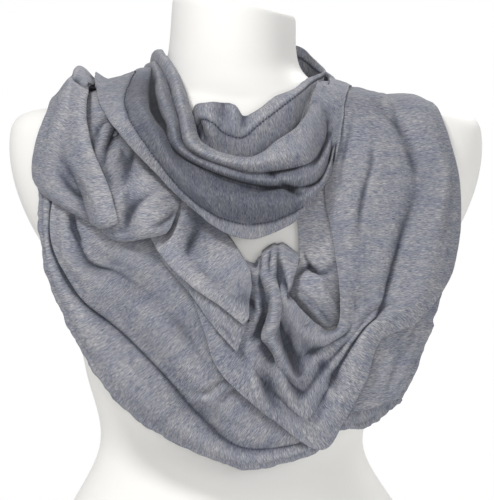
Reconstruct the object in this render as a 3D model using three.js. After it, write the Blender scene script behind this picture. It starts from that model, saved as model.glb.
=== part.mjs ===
// An infinity scarf of thin jersey, worn doubled on a dress form. Millimetres, +Z up, the front faces -Y.
import * as THREE from "three";

// Main sizes
const CLOTH = 1.2; // thickness of the jersey wall
const GAP = 0.5; // least free space between two layers
const SEAM = 0.9; // free space between the front and the back of the neck wrap
const PIVOT = 425; // height from which the cloth turns over the shoulder
const REACH = 60; // length along the cloth for one radian of that turn
const CELL = 4; // grid cell of the height map
const HALF_TURN = PIVOT + REACH * Math.PI; // path length where the back hangs straight down

// Colours of the two materials
const clothLook = new THREE.MeshStandardMaterial({ color: 0x868b99, roughness: 0.95 });
const formLook = new THREE.MeshStandardMaterial({ color: 0xf1eee6, roughness: 0.5 });

const clamp = (value, low, high) => Math.min(high, Math.max(low, value));
const mix = (a, b, t) => a + (b - a) * t;

// Smooth value between the rows of a table, by one named column
function between(table, column, height) {
  const last = table.length - 1;
  let i = 0;
  while (i < last - 1 && height > table[i + 1].z) i += 1;
  const at = (k) => table[clamp(k, 0, last)];
  const slope = (k) => {
    const before = at(k - 1);
    const after = at(k + 1);
    return (after[column] - before[column]) / Math.max(1e-6, after.z - before.z);
  };
  const span = at(i + 1).z - at(i).z;
  const t = clamp((height - at(i).z) / span, 0, 1);
  const start = at(i)[column];
  const end = at(i + 1)[column];
  const a = (2 * t * t * t - 3 * t * t + 1) * start + (t * t * t - 2 * t * t + t) * span * slope(i);
  const b = (3 * t * t - 2 * t * t * t) * end + (t * t * t - t * t) * span * slope(i + 1);
  return a + b;
}

// Dress form: one row for each level, with its middle, half width, and depth to the front and the back
const FORM_LEVELS = [
  { z: 0, middle: 0, half: 158, front: 106, back: 112, square: 2.2 },
  { z: 60, middle: -2, half: 168, front: 112, back: 118, square: 2.2 },
  { z: 120, middle: -6, half: 140, front: 96, back: 92, square: 2.2 },
  { z: 180, middle: -8, half: 110, front: 82, back: 70, square: 2.2 },
  { z: 240, middle: -2, half: 128, front: 96, back: 78, square: 2.2 },
  { z: 290, middle: 2, half: 143, front: 110, back: 90, square: 2.3 },
  { z: 325, middle: 4, half: 156, front: 112, back: 96, square: 2.4 },
  { z: 355, middle: 4, half: 176, front: 108, back: 98, square: 2.5 },
  { z: 385, middle: 4, half: 190, front: 101, back: 95, square: 2.5 },
  { z: 412, middle: 4, half: 197, front: 92, back: 87, square: 2.5 },
  { z: 435, middle: 4, half: 198, front: 83, back: 77, square: 2.4 },
  { z: 449, middle: 4, half: 194, front: 75, back: 68, square: 2.3 },
  { z: 457, middle: 4, half: 182, front: 70, back: 61, square: 2.2 },
  { z: 462, middle: 3, half: 152, front: 67, back: 56, square: 2.1 },
  { z: 466, middle: 2, half: 106, front: 65, back: 52, square: 2 },
  { z: 471, middle: 0, half: 83, front: 64, back: 49, square: 2 },
  { z: 480, middle: -4, half: 68, front: 63, back: 47, square: 2 },
  { z: 492, middle: -7, half: 58, front: 62, back: 46, square: 2 },
  { z: 508, middle: -7, half: 53.5, front: 62, back: 46, square: 2 },
  { z: 530, middle: -6, half: 52, front: 62, back: 47, square: 2 },
  { z: 560, middle: -5, half: 50, front: 61, back: 48, square: 2 },
];

// Rounded top of the neck
const CAP_RINGS = [
  { shrink: 0.975, rise: 3.2 },
  { shrink: 0.93, rise: 5 },
  { shrink: 0.55, rise: 5.4 },
];

// The smooth shape that the cloth rests on: the form down to the chest, then hanging straight
const DRAPE_LEVELS = [
  { z: 100, half: 178, front: 104, back: 96 },
  { z: 180, half: 188, front: 110, back: 98 },
  { z: 260, half: 200, front: 115, back: 100 },
  { z: 325, half: 205, front: 115, back: 102 },
  { z: 370, half: 205, front: 108, back: 100 },
  { z: 412, half: 205, front: 95, back: 90 },
  { z: 435, half: 206, front: 88, back: 82 },
  { z: 449, half: 204, front: 80, back: 73 },
  { z: 457, half: 195, front: 75, back: 66 },
  { z: 464, half: 160, front: 72, back: 61 },
  { z: 469, half: 112, front: 69, back: 56 },
  { z: 474, half: 88, front: 67, back: 52 },
  { z: 482, half: 72, front: 65, back: 49 },
  { z: 494, half: 65, front: 64, back: 48 },
  { z: 520, half: 60, front: 64, back: 48 },
  { z: 560, half: 58, front: 64, back: 48 },
];

function insideDrape(x, y, z) {
  const half = between(DRAPE_LEVELS, "half", z);
  const depth = between(DRAPE_LEVELS, y < 0 ? "front" : "back", z);
  return Math.pow(Math.abs(x - 2) / half, 2.4) + Math.pow(Math.abs(y) / depth, 2.4) < 1;
}

// Distance from the pivot line to the drape shape, in the upright plane at x, for a turn from the front
function measureRadius(x, turn) {
  let low = 0;
  let high = 125;
  for (let step = 0; step < 18; step += 1) {
    const r = (low + high) / 2;
    if (insideDrape(x, -r * Math.cos(turn), PIVOT + r * Math.sin(turn))) low = r;
    else high = r;
  }
  return low;
}

function measureDepth(x, z, column) {
  const half = between(DRAPE_LEVELS, "half", z);
  const depth = between(DRAPE_LEVELS, column, z);
  return depth * Math.pow(Math.max(0, 1 - Math.pow(Math.abs(x - 2) / half, 2.4)), 1 / 2.4);
}

// Grid over x and the path length up the front, over the shoulder and down the back
const X_LOW = -220;
const X_CELLS = 110;
const S_LOW = 120;
const S_CELLS = 190;
const GRID = X_CELLS * S_CELLS;

function cellValues(rule) {
  const values = new Float64Array(GRID);
  for (let j = 0; j < S_CELLS; j += 1)
    for (let i = 0; i < X_CELLS; i += 1) values[j * X_CELLS + i] = rule(X_LOW + i * CELL, S_LOW + j * CELL);
  return values;
}

function read(values, x, s) {
  const u = clamp((x - X_LOW) / CELL, 0, X_CELLS - 1.001);
  const v = clamp((s - S_LOW) / CELL, 0, S_CELLS - 1.001);
  const i = Math.floor(u);
  const j = Math.floor(v);
  const at = (a, b) => values[(j + b) * X_CELLS + i + a];
  return mix(mix(at(0, 0), at(1, 0), u - i), mix(at(0, 1), at(1, 1), u - i), v - j);
}

const bodyRadius = cellValues((x, s) => {
  if (s < PIVOT) return measureDepth(x, s, "front");
  if (s > HALF_TURN) return measureDepth(x, PIVOT - (s - HALF_TURN), "back");
  return measureRadius(x, (s - PIVOT) / REACH);
});

// A point in space from x, path length and distance off the drape shape
function place(x, s, out) {
  const r = read(bodyRadius, x, s) + out;
  if (s < PIVOT) return new THREE.Vector3(x, -r, s);
  if (s > HALF_TURN) return new THREE.Vector3(x, r, PIVOT - (s - HALF_TURN));
  const turn = (s - PIVOT) / REACH;
  return new THREE.Vector3(x, -r * Math.cos(turn), PIVOT + r * Math.sin(turn));
}

// The reverse: path length and distance off the drape shape
function unplace(point) {
  let s = point.z;
  let r = -point.y;
  if (point.z > PIVOT) {
    s = PIVOT + REACH * Math.atan2(point.z - PIVOT, -point.y);
    r = Math.hypot(point.z - PIVOT, point.y);
  } else if (point.y > 0) {
    s = HALF_TURN + PIVOT - point.z;
    r = point.y;
  }
  return { s, out: r - read(bodyRadius, point.x, s) };
}

// Height of everything laid so far, and the smooth support that a new layer rests on
const laid = new Float64Array(GRID);

function spread(values, cells, pick) {
  const pass = (input, stepX, stepS) => {
    const output = new Float64Array(GRID);
    for (let j = 0; j < S_CELLS; j += 1)
      for (let i = 0; i < X_CELLS; i += 1) {
        const found = [];
        for (let k = -cells; k <= cells; k += 1) {
          const a = clamp(i + k * stepX, 0, X_CELLS - 1);
          const b = clamp(j + k * stepS, 0, S_CELLS - 1);
          found.push(input[b * X_CELLS + a]);
        }
        output[j * X_CELLS + i] = pick(found);
      }
    return output;
  };
  return pass(pass(values, 1, 0), 0, 1);
}

const largest = (list) => Math.max(...list);
const average = (list) => list.reduce((sum, value) => sum + value, 0) / list.length;

function supportNow(cells) {
  return spread(spread(laid, cells, largest), cells, average);
}

function stamp(grid) {
  const steps = 6;
  for (let i = 0; i + 1 < grid.length; i += 1)
    for (let j = 0; j + 1 < grid[i].length; j += 1)
      for (let a = 0; a <= steps; a += 1)
        for (let b = 0; b <= steps; b += 1) {
          const near = grid[i][j].clone().lerp(grid[i + 1][j], a / steps);
          const far = grid[i][j + 1].clone().lerp(grid[i + 1][j + 1], a / steps);
          const point = near.lerp(far, b / steps);
          const { s, out } = unplace(point);
          const u = Math.round((point.x - X_LOW) / CELL);
          const v = Math.round((s - S_LOW) / CELL);
          if (u < 0 || v < 0 || u >= X_CELLS || v >= S_CELLS) continue;
          const cell = v * X_CELLS + u;
          laid[cell] = Math.max(laid[cell], out + CLOTH / 2);
        }
}

// Points of the tables: seen from the front, over the shoulder by a turn in degrees, or behind
const over = (x, turn, rise) => ({ x, s: PIVOT + (REACH * turn * Math.PI) / 180, rise });
const behind = (x, z, rise) => ({ x, s: HALF_TURN + PIVOT - z, rise });

function settle(point, support) {
  if (!Array.isArray(point)) return new THREE.Vector3(point.x, point.s, point.rise);
  const [x, z, rise] = point;
  if (z <= PIVOT) return new THREE.Vector3(x, z, rise);
  let s = PIVOT;
  while (s < PIVOT + REACH * 1.5 && place(x, s, read(support, x, s) + rise).z < z) s += 0.5;
  return new THREE.Vector3(x, s, rise);
}

// Smooth surface through a table of folds: rows are folds, and each row's softness sets how round it is
function surface(rows, softness, acrossSteps, alongSteps, closed, creaseFrom = []) {
  const count = rows[0].length;
  const alongRow = (row, k, t) => {
    const at = (m) => (closed ? row[(m + count) % count] : row[clamp(m, 0, count - 1)]);
    return hermite(at(k - 1), at(k), at(k + 1), at(k + 2), t, 1, 1);
  };
  const dense = rows.map((row) => {
    const points = [];
    const spans = closed ? count : count - 1;
    for (let k = 0; k < spans; k += 1)
      for (let n = 0; n < alongSteps; n += 1) points.push(alongRow(row, k, n / alongSteps));
    if (!closed) points.push(row[count - 1].clone());
    return points;
  });
  const softAt = (i, k) => {
    const start = (creaseFrom[i] || 0) * alongSteps;
    return mix(1, softness[i], clamp((k - start) / alongSteps + 1, 0, 1));
  };
  const grid = [];
  for (let i = 0; i + 1 < rows.length; i += 1) {
    const before = dense[Math.max(0, i - 1)];
    const after = dense[Math.min(rows.length - 1, i + 2)];
    const last = i + 2 === rows.length;
    const lineAt = (t) =>
      dense[i].map((point, k) =>
        hermite(before[k], point, dense[i + 1][k], after[k], t, softAt(i, k), softAt(i + 1, k)),
      );
    for (let n = 0; n < acrossSteps; n += 1) grid.push(lineAt(n / acrossSteps));
    if (last) grid.push(lineAt(1));
  }
  return grid;
}

function hermite(p0, p1, p2, p3, t, softStart, softEnd) {
  const longest = 1.4 * p1.distanceTo(p2);
  const start = p2.clone().sub(p0).multiplyScalar(0.5 * softStart).clampLength(0, longest);
  const end = p3.clone().sub(p1).multiplyScalar(0.5 * softEnd).clampLength(0, longest);
  const t2 = t * t;
  const t3 = t2 * t;
  return p1
    .clone()
    .multiplyScalar(2 * t3 - 3 * t2 + 1)
    .addScaledVector(start, t3 - 2 * t2 + t)
    .addScaledVector(p2, 3 * t2 - 2 * t3)
    .addScaledVector(end, t3 - t2);
}

// Direction of a line of points at one of them, halfway between the steps before and after it
function heading(before, here, after) {
  const step = here.clone().sub(before).normalize();
  return step.add(after.clone().sub(here).normalize());
}

// Closed cloth wall of even thickness about a grid of points
function wall(grid, closed, thickness) {
  const rows = grid.length;
  const count = grid[0].length;
  const at = (i, j) => grid[clamp(i, 0, rows - 1)][closed ? (j + count) % count : clamp(j, 0, count - 1)];
  const positions = [];
  for (const side of [1, -1])
    for (let i = 0; i < rows; i += 1)
      for (let j = 0; j < count; j += 1) {
        const along = heading(at(i, j - 1), at(i, j), at(i, j + 1));
        const across = heading(at(i - 1, j), at(i, j), at(i + 1, j));
        const normal = along.cross(across).normalize();
        const point = at(i, j).clone().addScaledVector(normal, (side * thickness) / 2);
        positions.push(point.x, point.y, point.z);
      }
  const index = [];
  const id = (side, i, j) => side * rows * count + i * count + ((j + count) % count);
  const quad = (a, b, c, d) => index.push(a, b, c, a, c, d);
  const spans = closed ? count : count - 1;
  for (let i = 0; i + 1 < rows; i += 1)
    for (let j = 0; j < spans; j += 1) {
      quad(id(0, i, j), id(0, i, j + 1), id(0, i + 1, j + 1), id(0, i + 1, j));
      quad(id(1, i, j), id(1, i + 1, j), id(1, i + 1, j + 1), id(1, i, j + 1));
    }
  for (let j = 0; j < spans; j += 1) {
    quad(id(1, 0, j), id(1, 0, j + 1), id(0, 0, j + 1), id(0, 0, j));
    quad(id(0, rows - 1, j), id(0, rows - 1, j + 1), id(1, rows - 1, j + 1), id(1, rows - 1, j));
  }
  if (!closed)
    for (let i = 0; i + 1 < rows; i += 1) {
      quad(id(0, i, 0), id(0, i + 1, 0), id(1, i + 1, 0), id(1, i, 0));
      quad(id(1, i, count - 1), id(1, i + 1, count - 1), id(0, i + 1, count - 1), id(0, i, count - 1));
    }
  const geometry = new THREE.BufferGeometry();
  geometry.setAttribute("position", new THREE.Float32BufferAttribute(positions, 3));
  geometry.setIndex(index);
  geometry.computeVertexNormals();
  return facingOut(geometry);
}

// Turns a closed surface round if its faces point inwards
function facingOut(geometry) {
  const p = geometry.getAttribute("position");
  const index = geometry.getIndex().array;
  let volume = 0;
  const a = new THREE.Vector3();
  const b = new THREE.Vector3();
  const c = new THREE.Vector3();
  for (let i = 0; i < index.length; i += 3) {
    a.fromBufferAttribute(p, index[i]);
    b.fromBufferAttribute(p, index[i + 1]);
    c.fromBufferAttribute(p, index[i + 2]);
    volume += a.dot(b.cross(c)) / 6;
  }
  if (volume < 0)
    for (let i = 0; i < index.length; i += 3) [index[i + 1], index[i + 2]] = [index[i + 2], index[i + 1]];
  geometry.computeVertexNormals();
  return geometry;
}

const scarf = new THREE.Group();
scarf.name = "infinity_scarf_on_dress_form";

function add(name, geometry, look) {
  const mesh = new THREE.Mesh(geometry, look.clone());
  mesh.name = name;
  scarf.add(mesh);
}

// Every fold of a table must have one point for each named column
function checkTable(name, columns, folds) {
  for (const fold of folds)
    if (fold.at.length !== columns.length) throw new Error(name + ": a fold misses a column");
}

// Lays one stretch of cloth on whatever is already there, or beside the stretch laid just before it
let lastSupport;
function lay({ name, columns, folds, across, along, reach, beside }) {
  checkTable(name, columns, folds);
  const support = beside ? lastSupport : supportNow(reach);
  lastSupport = support;
  const rows = folds.map((fold) => fold.at.map((point) => settle(point, support)));
  const softness = folds.map((fold) => fold.soft);
  const creaseFrom = folds.map((fold) => fold.creaseFrom);
  const flat = surface(rows, softness, across, along, false, creaseFrom);
  const grid = flat.map((row) =>
    row.map((p) => place(p.x, p.y, read(support, p.x, p.y) + CLOTH / 2 + GAP + p.z)),
  );
  stamp(grid);
  add(name, wall(grid, false, CLOTH), clothLook);
}

// Keeps a point off the dress form and off the cloth laid so far
function keepOff(point, support, room, inside) {
  const half = between(FORM_LEVELS, "half", point.z);
  const depth = between(FORM_LEVELS, point.y < 0 ? "front" : "back", point.z);
  const power = between(FORM_LEVELS, "square", point.z);
  const middle = between(FORM_LEVELS, "middle", point.z);
  const level = Math.pow(
    Math.pow(Math.abs(point.x - middle) / half, power) + Math.pow(Math.abs(point.y) / depth, power),
    1 / power,
  );
  const least = 1 + (room + CLOTH / 2) / Math.min(half, depth);
  if (level < least && point.z > 476) {
    point.x = middle + ((point.x - middle) * least) / level;
    point.y *= least / level;
  }
  const { s, out } = unplace(point);
  const below = read(support, point.x, s);
  if ((inside || below < 1.5) && point.z > 476) return point;
  const push = inside ? clamp((476 - point.z) / 25, 0, 1) : 1;
  return place(point.x, s, mix(out, Math.max(out, below + room + CLOTH / 2), push));
}

// Hangs one stretch round the neck through folds given as points in space, clear of all that lies below
function wind({ name, columns, folds, across, along, closed, reach, inside, parts }) {
  checkTable(name, columns, folds);
  const support = supportNow(reach);
  const rows = folds.map((fold) => fold.at.map(([x, y, z]) => new THREE.Vector3(x, y, z)));
  const softness = folds.map((fold) => fold.soft);
  const grid = surface(rows, softness, across, along, closed).map((row) =>
    row.map((point) => keepOff(point, support, 1.7 * GAP, inside)),
  );
  if (!inside) stamp(grid);
  if (!parts) add(name, wall(grid, closed, CLOTH), clothLook);
  for (const part of parts || []) {
    const first = columns.indexOf(part.from) * along;
    const count = grid[0].length;
    const length = (columns.indexOf(part.to) * along - first + count) % count;
    const stretch = grid.map((row) => trimmed(row, first, length));
    add(part.name, wall(stretch, false, CLOTH), clothLook);
  }
}

// The points of a closed row from one column on, with both ends drawn in by half a seam
function trimmed(row, first, length) {
  const points = [];
  for (let k = 0; k <= length; k += 1) points.push(row[(first + k) % row.length].clone());
  const drawIn = (end, next) => end.addScaledVector(next.clone().sub(end).normalize(), SEAM / 2);
  drawIn(points[0], points[1]);
  drawIn(points[length], points[length - 1]);
  return points;
}

// Dress form
function buildForm() {
  const around = 44;
  const heights = [];
  for (let z = 0; z < 300; z += 30) heights.push(z);
  for (let z = 300; z < 420; z += 20) heights.push(z);
  heights.push(420, 434, 445, 453, 458, 462, 465, 468, 472, 478, 486, 496, 508, 522, 534);
  const rings = heights.map((z) => {
    const ring = [];
    const top = clamp((z - 500) / 34, 0, 1);
    for (let k = 0; k < around; k += 1) {
      const angle = (2 * Math.PI * k) / around;
      const cos = Math.cos(angle);
      const sin = Math.sin(angle);
      const power = 2 / between(FORM_LEVELS, "square", z);
      const depth = between(FORM_LEVELS, sin < 0 ? "front" : "back", z);
      const x = Math.sign(cos) * Math.pow(Math.abs(cos), power) * between(FORM_LEVELS, "half", z);
      const y = Math.sign(sin) * Math.pow(Math.abs(sin), power) * depth;
      const tilt = top * (8 - 0.15 * (x + 5));
      ring.push(new THREE.Vector3(between(FORM_LEVELS, "middle", z) + x, y, z + tilt));
    }
    return ring;
  });
  const rim = rings[rings.length - 1];
  const capped = (p, cap) =>
    new THREE.Vector3(-5 + (p.x + 5) * cap.shrink, -7 + (p.y + 7) * cap.shrink, p.z + cap.rise);
  for (const cap of CAP_RINGS) rings.push(rim.map((p) => capped(p, cap)));
  const positions = [];
  for (const ring of rings) for (const p of ring) positions.push(p.x, p.y, p.z);
  const index = [];
  for (let i = 0; i + 1 < rings.length; i += 1)
    for (let k = 0; k < around; k += 1) {
      const a = i * around + k;
      const b = i * around + ((k + 1) % around);
      index.push(a, b, b + around, a, b + around, a + around);
    }
  for (const [row, turn] of [[0, 1], [rings.length - 1, -1]]) {
    const middle = positions.length / 3;
    const ring = rings[row];
    const height = ring.reduce((sum, p) => sum + p.z, 0) / around;
    positions.push(ring[0].x / 2 + ring[around / 2].x / 2, -5, height);
    for (let k = 0; k < around; k += 1) {
      const a = row * around + k;
      const b = row * around + ((k + 1) % around);
      if (turn > 0) index.push(a, middle, b);
      else index.push(a, b, middle);
    }
  }
  const geometry = new THREE.BufferGeometry();
  geometry.setAttribute("position", new THREE.Float32BufferAttribute(positions, 3));
  geometry.setIndex(index);
  add("dress_form", facingOut(geometry), formLook);
}

buildForm();

// Each table lists the folds of one stretch from edge to edge, a row for each fold and a column for each
// station along it. A point is [x, z, rise] as seen from the front, where rise is the height over the cloth
// below. Softness 1 is a round fold and 0 a sharp crease.

lay({
  name: "left_drape",
  columns: [
    "crest", "shoulder", "upper chest", "chest", "side", "ribs", "waist side",
    "left hem", "low left", "low middle", "middle", "point", "notch", "low right", "right end",
  ],
  across: 2,
  along: 2,
  reach: 1,
  folds: [
    {
      fold: "outer hem", soft: 1,
      at: [
        over(-146, 95, 0), over(-155, 52, 0), [-160, 440, 0], [-164, 400, 0], [-165, 368, 1],
        [-161, 335, 2], [-148, 299, 3], [-128, 256, 3], [-92, 210, 3], [-48, 184, 3], [8, 164, 3],
        [60, 178, 2], [80, 195, 1], [104, 198, 0], [131, 219, 0],
      ],
    },
    {
      fold: "hem roll", soft: 1,
      at: [
        over(-138, 95, 1), over(-146, 52, 1), [-152, 440, 1], [-158, 400, 2], [-160, 368, 4],
        [-157, 335, 6], [-140, 299, 9], [-115, 265, 11], [-80, 226, 12], [-43, 196, 12], [5, 172, 9],
        [60, 183, 5], [79, 201, 3], [101, 207, 1], [128, 232, 0],
      ],
    },
    {
      fold: "long valley", soft: 0.25,
      at: [
        over(-130, 95, 0), over(-137, 52, 0), [-144, 440, 0], [-151, 400, 1], [-155, 368, 1],
        [-151, 337, 2], [-130, 302, 2], [-98, 276, 2], [-63, 241, 2], [-33, 207, 2], [4, 181, 3],
        [59, 188, 2], [78, 208, 1], [98, 216, 0], [124, 246, 0],
      ],
    },
    {
      fold: "broad roll", soft: 1,
      at: [
        over(-120, 95, 1), over(-126, 52, 1), [-132, 440, 1], [-140, 400, 3], [-146, 366, 7],
        [-139, 332, 11], [-113, 311, 12], [-80, 290, 12], [-50, 256, 12], [-22, 222, 11], [12, 193, 8],
        [59, 194, 3], [77, 216, 1], [95, 226, 0], [120, 258, 0],
      ],
    },
    {
      fold: "crescent valley", soft: 0.3,
      at: [
        over(-108, 95, 0), over(-113, 52, 0), [-118, 440, 0], [-128, 400, 1], [-135, 368, 2],
        [-124, 333, 3], [-98, 322, 3], [-66, 300, 3], [-38, 268, 3], [-12, 238, 3], [22, 206, 2],
        [60, 201, 1], [76, 224, 0], [93, 236, 0], [116, 270, 0],
      ],
    },
    {
      fold: "upper roll", soft: 1,
      at: [
        over(-95, 95, 1), over(-99, 52, 1), [-104, 440, 1], [-112, 400, 2], [-118, 368, 5],
        [-102, 345, 8], [-78, 335, 8], [-50, 312, 6], [-24, 284, 5], [2, 254, 4], [32, 220, 2],
        [62, 210, 1], [77, 233, 0], [92, 246, 0], [112, 282, 0],
      ],
    },
    {
      fold: "inner edge", soft: 1,
      at: [
        over(-84, 95, 0), over(-87, 52, 0), [-90, 440, 0], [-92, 400, 0], [-90, 370, 0], [-78, 356, 0],
        [-52, 345, 0], [-26, 322, 0], [-4, 292, 0], [18, 264, 0], [44, 232, 0], [66, 221, 0],
        [78, 243, 0], [91, 258, 0], [108, 296, 0],
      ],
    },
  ],
});

lay({
  name: "right_flap",
  columns: ["hidden top", "upper", "arm side", "lower", "low", "bottom edge"],
  across: 2,
  along: 2,
  reach: 2,
  folds: [
    {
      fold: "wavy hem", soft: 1,
      at: [
        [172, 345, 0], [168, 315, 1], [156, 283, 2], [147, 253, 3], [139, 235, 3], [132, 221, 3],
      ],
    },
    {
      fold: "outer roll", soft: 1,
      at: [
        [162, 345, 1], [156, 314, 2], [145, 283, 6], [136, 252, 8], [130, 233, 8], [125, 219.5, 6],
      ],
    },
    {
      fold: "valley", soft: 0.4,
      at: [
        [146, 345, 0], [142, 313, 1], [133, 283, 2], [125, 250, 3], [119, 231, 3], [115, 216, 2],
      ],
    },
    {
      fold: "inner roll", soft: 1,
      at: [
        [130, 345, 0], [126, 313, 1], [118, 280, 4], [112, 248, 7], [107, 229, 7], [104, 212.5, 5],
      ],
    },
    {
      fold: "inner edge", soft: 1,
      at: [
        [112, 345, 0], [108, 310, 0], [98, 276, 0], [89, 244, 0], [83, 226, 0], [80, 207, 0],
      ],
    },
  ],
});

lay({
  name: "right_inner_strip",
  columns: [
    "hidden top", "upper", "middle", "above tuck", "tuck", "pouch top", "pouch", "pouch low", "pouch end",
  ],
  across: 2,
  along: 2,
  reach: 2,
  folds: [
    {
      fold: "left edge", soft: 1,
      at: [
        [45, 410, 0], [46, 370, 1], [47, 345, 1], [47, 331, 2], [43, 323, 2], [38.5, 314, 3],
        [42, 303, 3], [51, 291.5, 2], [64, 280, 1],
      ],
    },
    {
      fold: "left roll", soft: 1,
      at: [
        [53, 410, 1], [53, 370, 2], [54, 345, 2], [54, 332, 2], [52, 324.5, 3], [50, 315, 11],
        [53, 303, 15], [60, 290, 10], [69, 278, 3],
      ],
    },
    {
      fold: "right roll", soft: 1,
      at: [
        [64, 410, 1], [63, 370, 2], [64, 345, 2], [64, 332, 2], [63, 324, 3], [62, 315, 11],
        [65, 302, 15], [69, 290, 9], [73, 278.5, 3],
      ],
    },
    {
      fold: "hidden edge", soft: 1,
      at: [
        [88, 410, 0], [88, 370, 1.2], [88, 345, 1.2], [88, 332, 1], [87, 324, 0], [87, 314, 0],
        [87, 302, 0], [85, 291, 0], [79, 281, 0],
      ],
    },
  ],
});

lay({
  name: "right_panel",
  columns: [
    "crest", "shoulder", "upper chest", "chest", "ribs", "waist", "swing", "arc top", "arc",
    "arc low", "point", "low left", "left", "upper left", "gather", "roll", "roll back",
  ],
  across: 2,
  along: 2,
  reach: 1,
  folds: [
    {
      fold: "outer hem", soft: 1,
      at: [
        over(150, 92, 0), over(164, 52, 0), [174, 441, 0], [182, 400, 1], [179, 356, 2], [169, 316, 2],
        [143, 283, 3], [113, 268, 3], [101, 236, 3], [84, 204, 3], [64, 180, 3], [24, 206, 3],
        [-16, 242, 2], [-29, 275, 1], [-40, 305, 0], [-50, 322, 0], [-60, 335, 0],
      ],
    },
    {
      fold: "outer roll", soft: 1,
      at: [
        over(136, 92, 3), over(148, 52, 5), [159, 444, 6], [168, 400, 7], [162, 356, 8], [152, 318, 8],
        [130, 292, 8], [104, 276, 8], [90, 242, 8], [76, 214, 7], [58, 193, 6], [24, 216, 8],
        [-8, 250, 6], [-22, 280, 4], [-32, 312, 1], [-42, 330, 0], [-52, 344, 0],
      ],
    },
    {
      fold: "soft valley", soft: 0.4,
      at: [
        over(112, 92, 1), over(123, 52, 1), [133, 440, 2], [143, 400, 2], [132, 355, 2], [120, 315, 2],
        [112, 290, 3], [99, 277, 5], [80, 248, 3], [68, 224, 3], [52, 205, 3], [25, 228, 3],
        [0, 260, 3], [-12, 288, 2], [-20, 320, 1], [-30, 340, 0], [-40, 354, 0],
      ],
    },
    {
      fold: "small ridge", soft: 1,
      at: [
        over(106, 92, 2), over(115, 52, 3), [124, 440, 4], [130, 400, 5], [122, 355, 6], [113, 315, 6],
        [106, 290, 6], [95.5, 276, 6.5], [77, 252, 6], [65, 234, 6], [50, 217, 6], [27, 240, 6],
        [8, 266, 5], [12, 290, 7], [11, 312, 8], [10, 325, 8], [9.5, 330, 2],
      ],
    },
    {
      fold: "dark crease", soft: 0.2, creaseFrom: 10,
      at: [
        over(100, 92, 2.5), over(107, 52, 4), [115, 441, 5.5], [118, 400, 6.5], [112, 355, 7],
        [107, 315, 7], [101, 290, 7], [93, 275.5, 7], [75, 256, 6], [62, 242, 5], [49, 227, 4],
        [30, 248, 2], [16, 272, 1], [19, 292, 1], [16, 314, 2], [16, 333, 5], [16, 337, 1],
      ],
    },
    {
      fold: "main ridge", soft: 1,
      at: [
        over(95, 92, 3), over(100, 52, 5), [107, 442, 6], [107, 400, 7.5], [103, 355, 8],
        [100, 315, 8.5], [96, 290, 8.5], [89.5, 275, 9], [72, 260, 9], [59, 250, 9], [47, 238, 10],
        [34, 254, 12], [25, 272, 15], [27, 296, 16], [23, 318, 14], [23, 341, 9], [23, 344.5, 3],
      ],
    },
    {
      fold: "second crease", soft: 0.3, creaseFrom: 7,
      at: [
        over(90, 92, 2.5), over(93, 52, 4), [98, 443, 5.5], [96, 400, 7.5], [95, 355, 8],
        [93, 315, 8.5], [91, 289, 8.5], [85.7, 275, 8], [68, 264, 6], [56, 259, 5], [46, 255, 4],
        [37, 266, 4], [32, 281, 5], [30.5, 300, 5], [29.5, 320, 6], [30, 343, 8], [30, 346.5, 3],
      ],
    },
    {
      fold: "light ridge", soft: 1,
      at: [
        over(85, 92, 2), over(87, 52, 3), [90, 444, 4], [84, 398, 6], [85, 355, 7], [86, 315, 7],
        [86, 288, 8], [81.5, 276.5, 9], [69, 270, 10], [58, 272, 10], [49, 277, 10], [43, 284, 10],
        [36.5, 294.5, 10], [34.5, 308, 9], [35.5, 324, 9], [37, 341.5, 8], [37, 345, 3],
      ],
    },
    {
      fold: "inner edge", soft: 1,
      at: [
        over(80, 92, 0), over(81, 52, 1), [82, 444, 1], [68, 392, 0.3], [74, 352, 1.5], [79, 316, 4],
        [80, 290, 5], [77, 278, 3], [70, 276, 2], [62, 281, 2], [54, 288, 2], [45.5, 297, 2],
        [39.5, 306, 2], [39, 315.5, 3], [41.5, 326, 4], [45, 335.5, 5], [45, 338, 2],
      ],
    },
  ],
});

// Back: crest is where a fold passes over the right shoulder and left over the left one, side is where it
// turns down the back, low is its lower turn and centreZ its height at the centre
const BACK_FOLDS = [
  {
    fold: "outer hem", soft: 1, crest: 150, left: -146, crestRise: 0, side: 172, sideZ: 402, low: 122,
    lowZ: 345, centreZ: 318, rise: 2,
  },
  {
    fold: "hem roll", soft: 1, crest: 136, left: -134, crestRise: 3, side: 159, sideZ: 412, low: 110,
    lowZ: 366, centreZ: 341, rise: 9,
  },
  {
    fold: "low valley", soft: 0.3, crest: 112, left: -120, crestRise: 1, side: 143, sideZ: 420,
    low: 101, lowZ: 381, centreZ: 361, rise: 3,
  },
  {
    fold: "middle roll", soft: 1, crest: 106, left: -112, crestRise: 2, side: 130, sideZ: 428, low: 92,
    lowZ: 393, centreZ: 373, rise: 13,
  },
  {
    fold: "middle valley", soft: 0.3, crest: 100, left: -105, crestRise: 2, side: 118, sideZ: 436,
    low: 80, lowZ: 407, centreZ: 388, rise: 3,
  },
  {
    fold: "high roll", soft: 1, crest: 95, left: -99, crestRise: 3, side: 108, sideZ: 443, low: 71,
    lowZ: 420, centreZ: 403, rise: 10,
  },
  {
    fold: "high valley", soft: 0.3, crest: 90, left: -94, crestRise: 2, side: 99, sideZ: 450, low: 62,
    lowZ: 431, centreZ: 417, rise: 2,
  },
  {
    fold: "neck roll", soft: 1, crest: 85, left: -89, crestRise: 2, side: 91, sideZ: 456, low: 54,
    lowZ: 442, centreZ: 429, rise: 5,
  },
  {
    fold: "inner edge", soft: 1, crest: 80, left: -84, crestRise: 0, side: 84, sideZ: 462, low: 46,
    lowZ: 450, centreZ: 438, rise: 0,
  },
];

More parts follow.
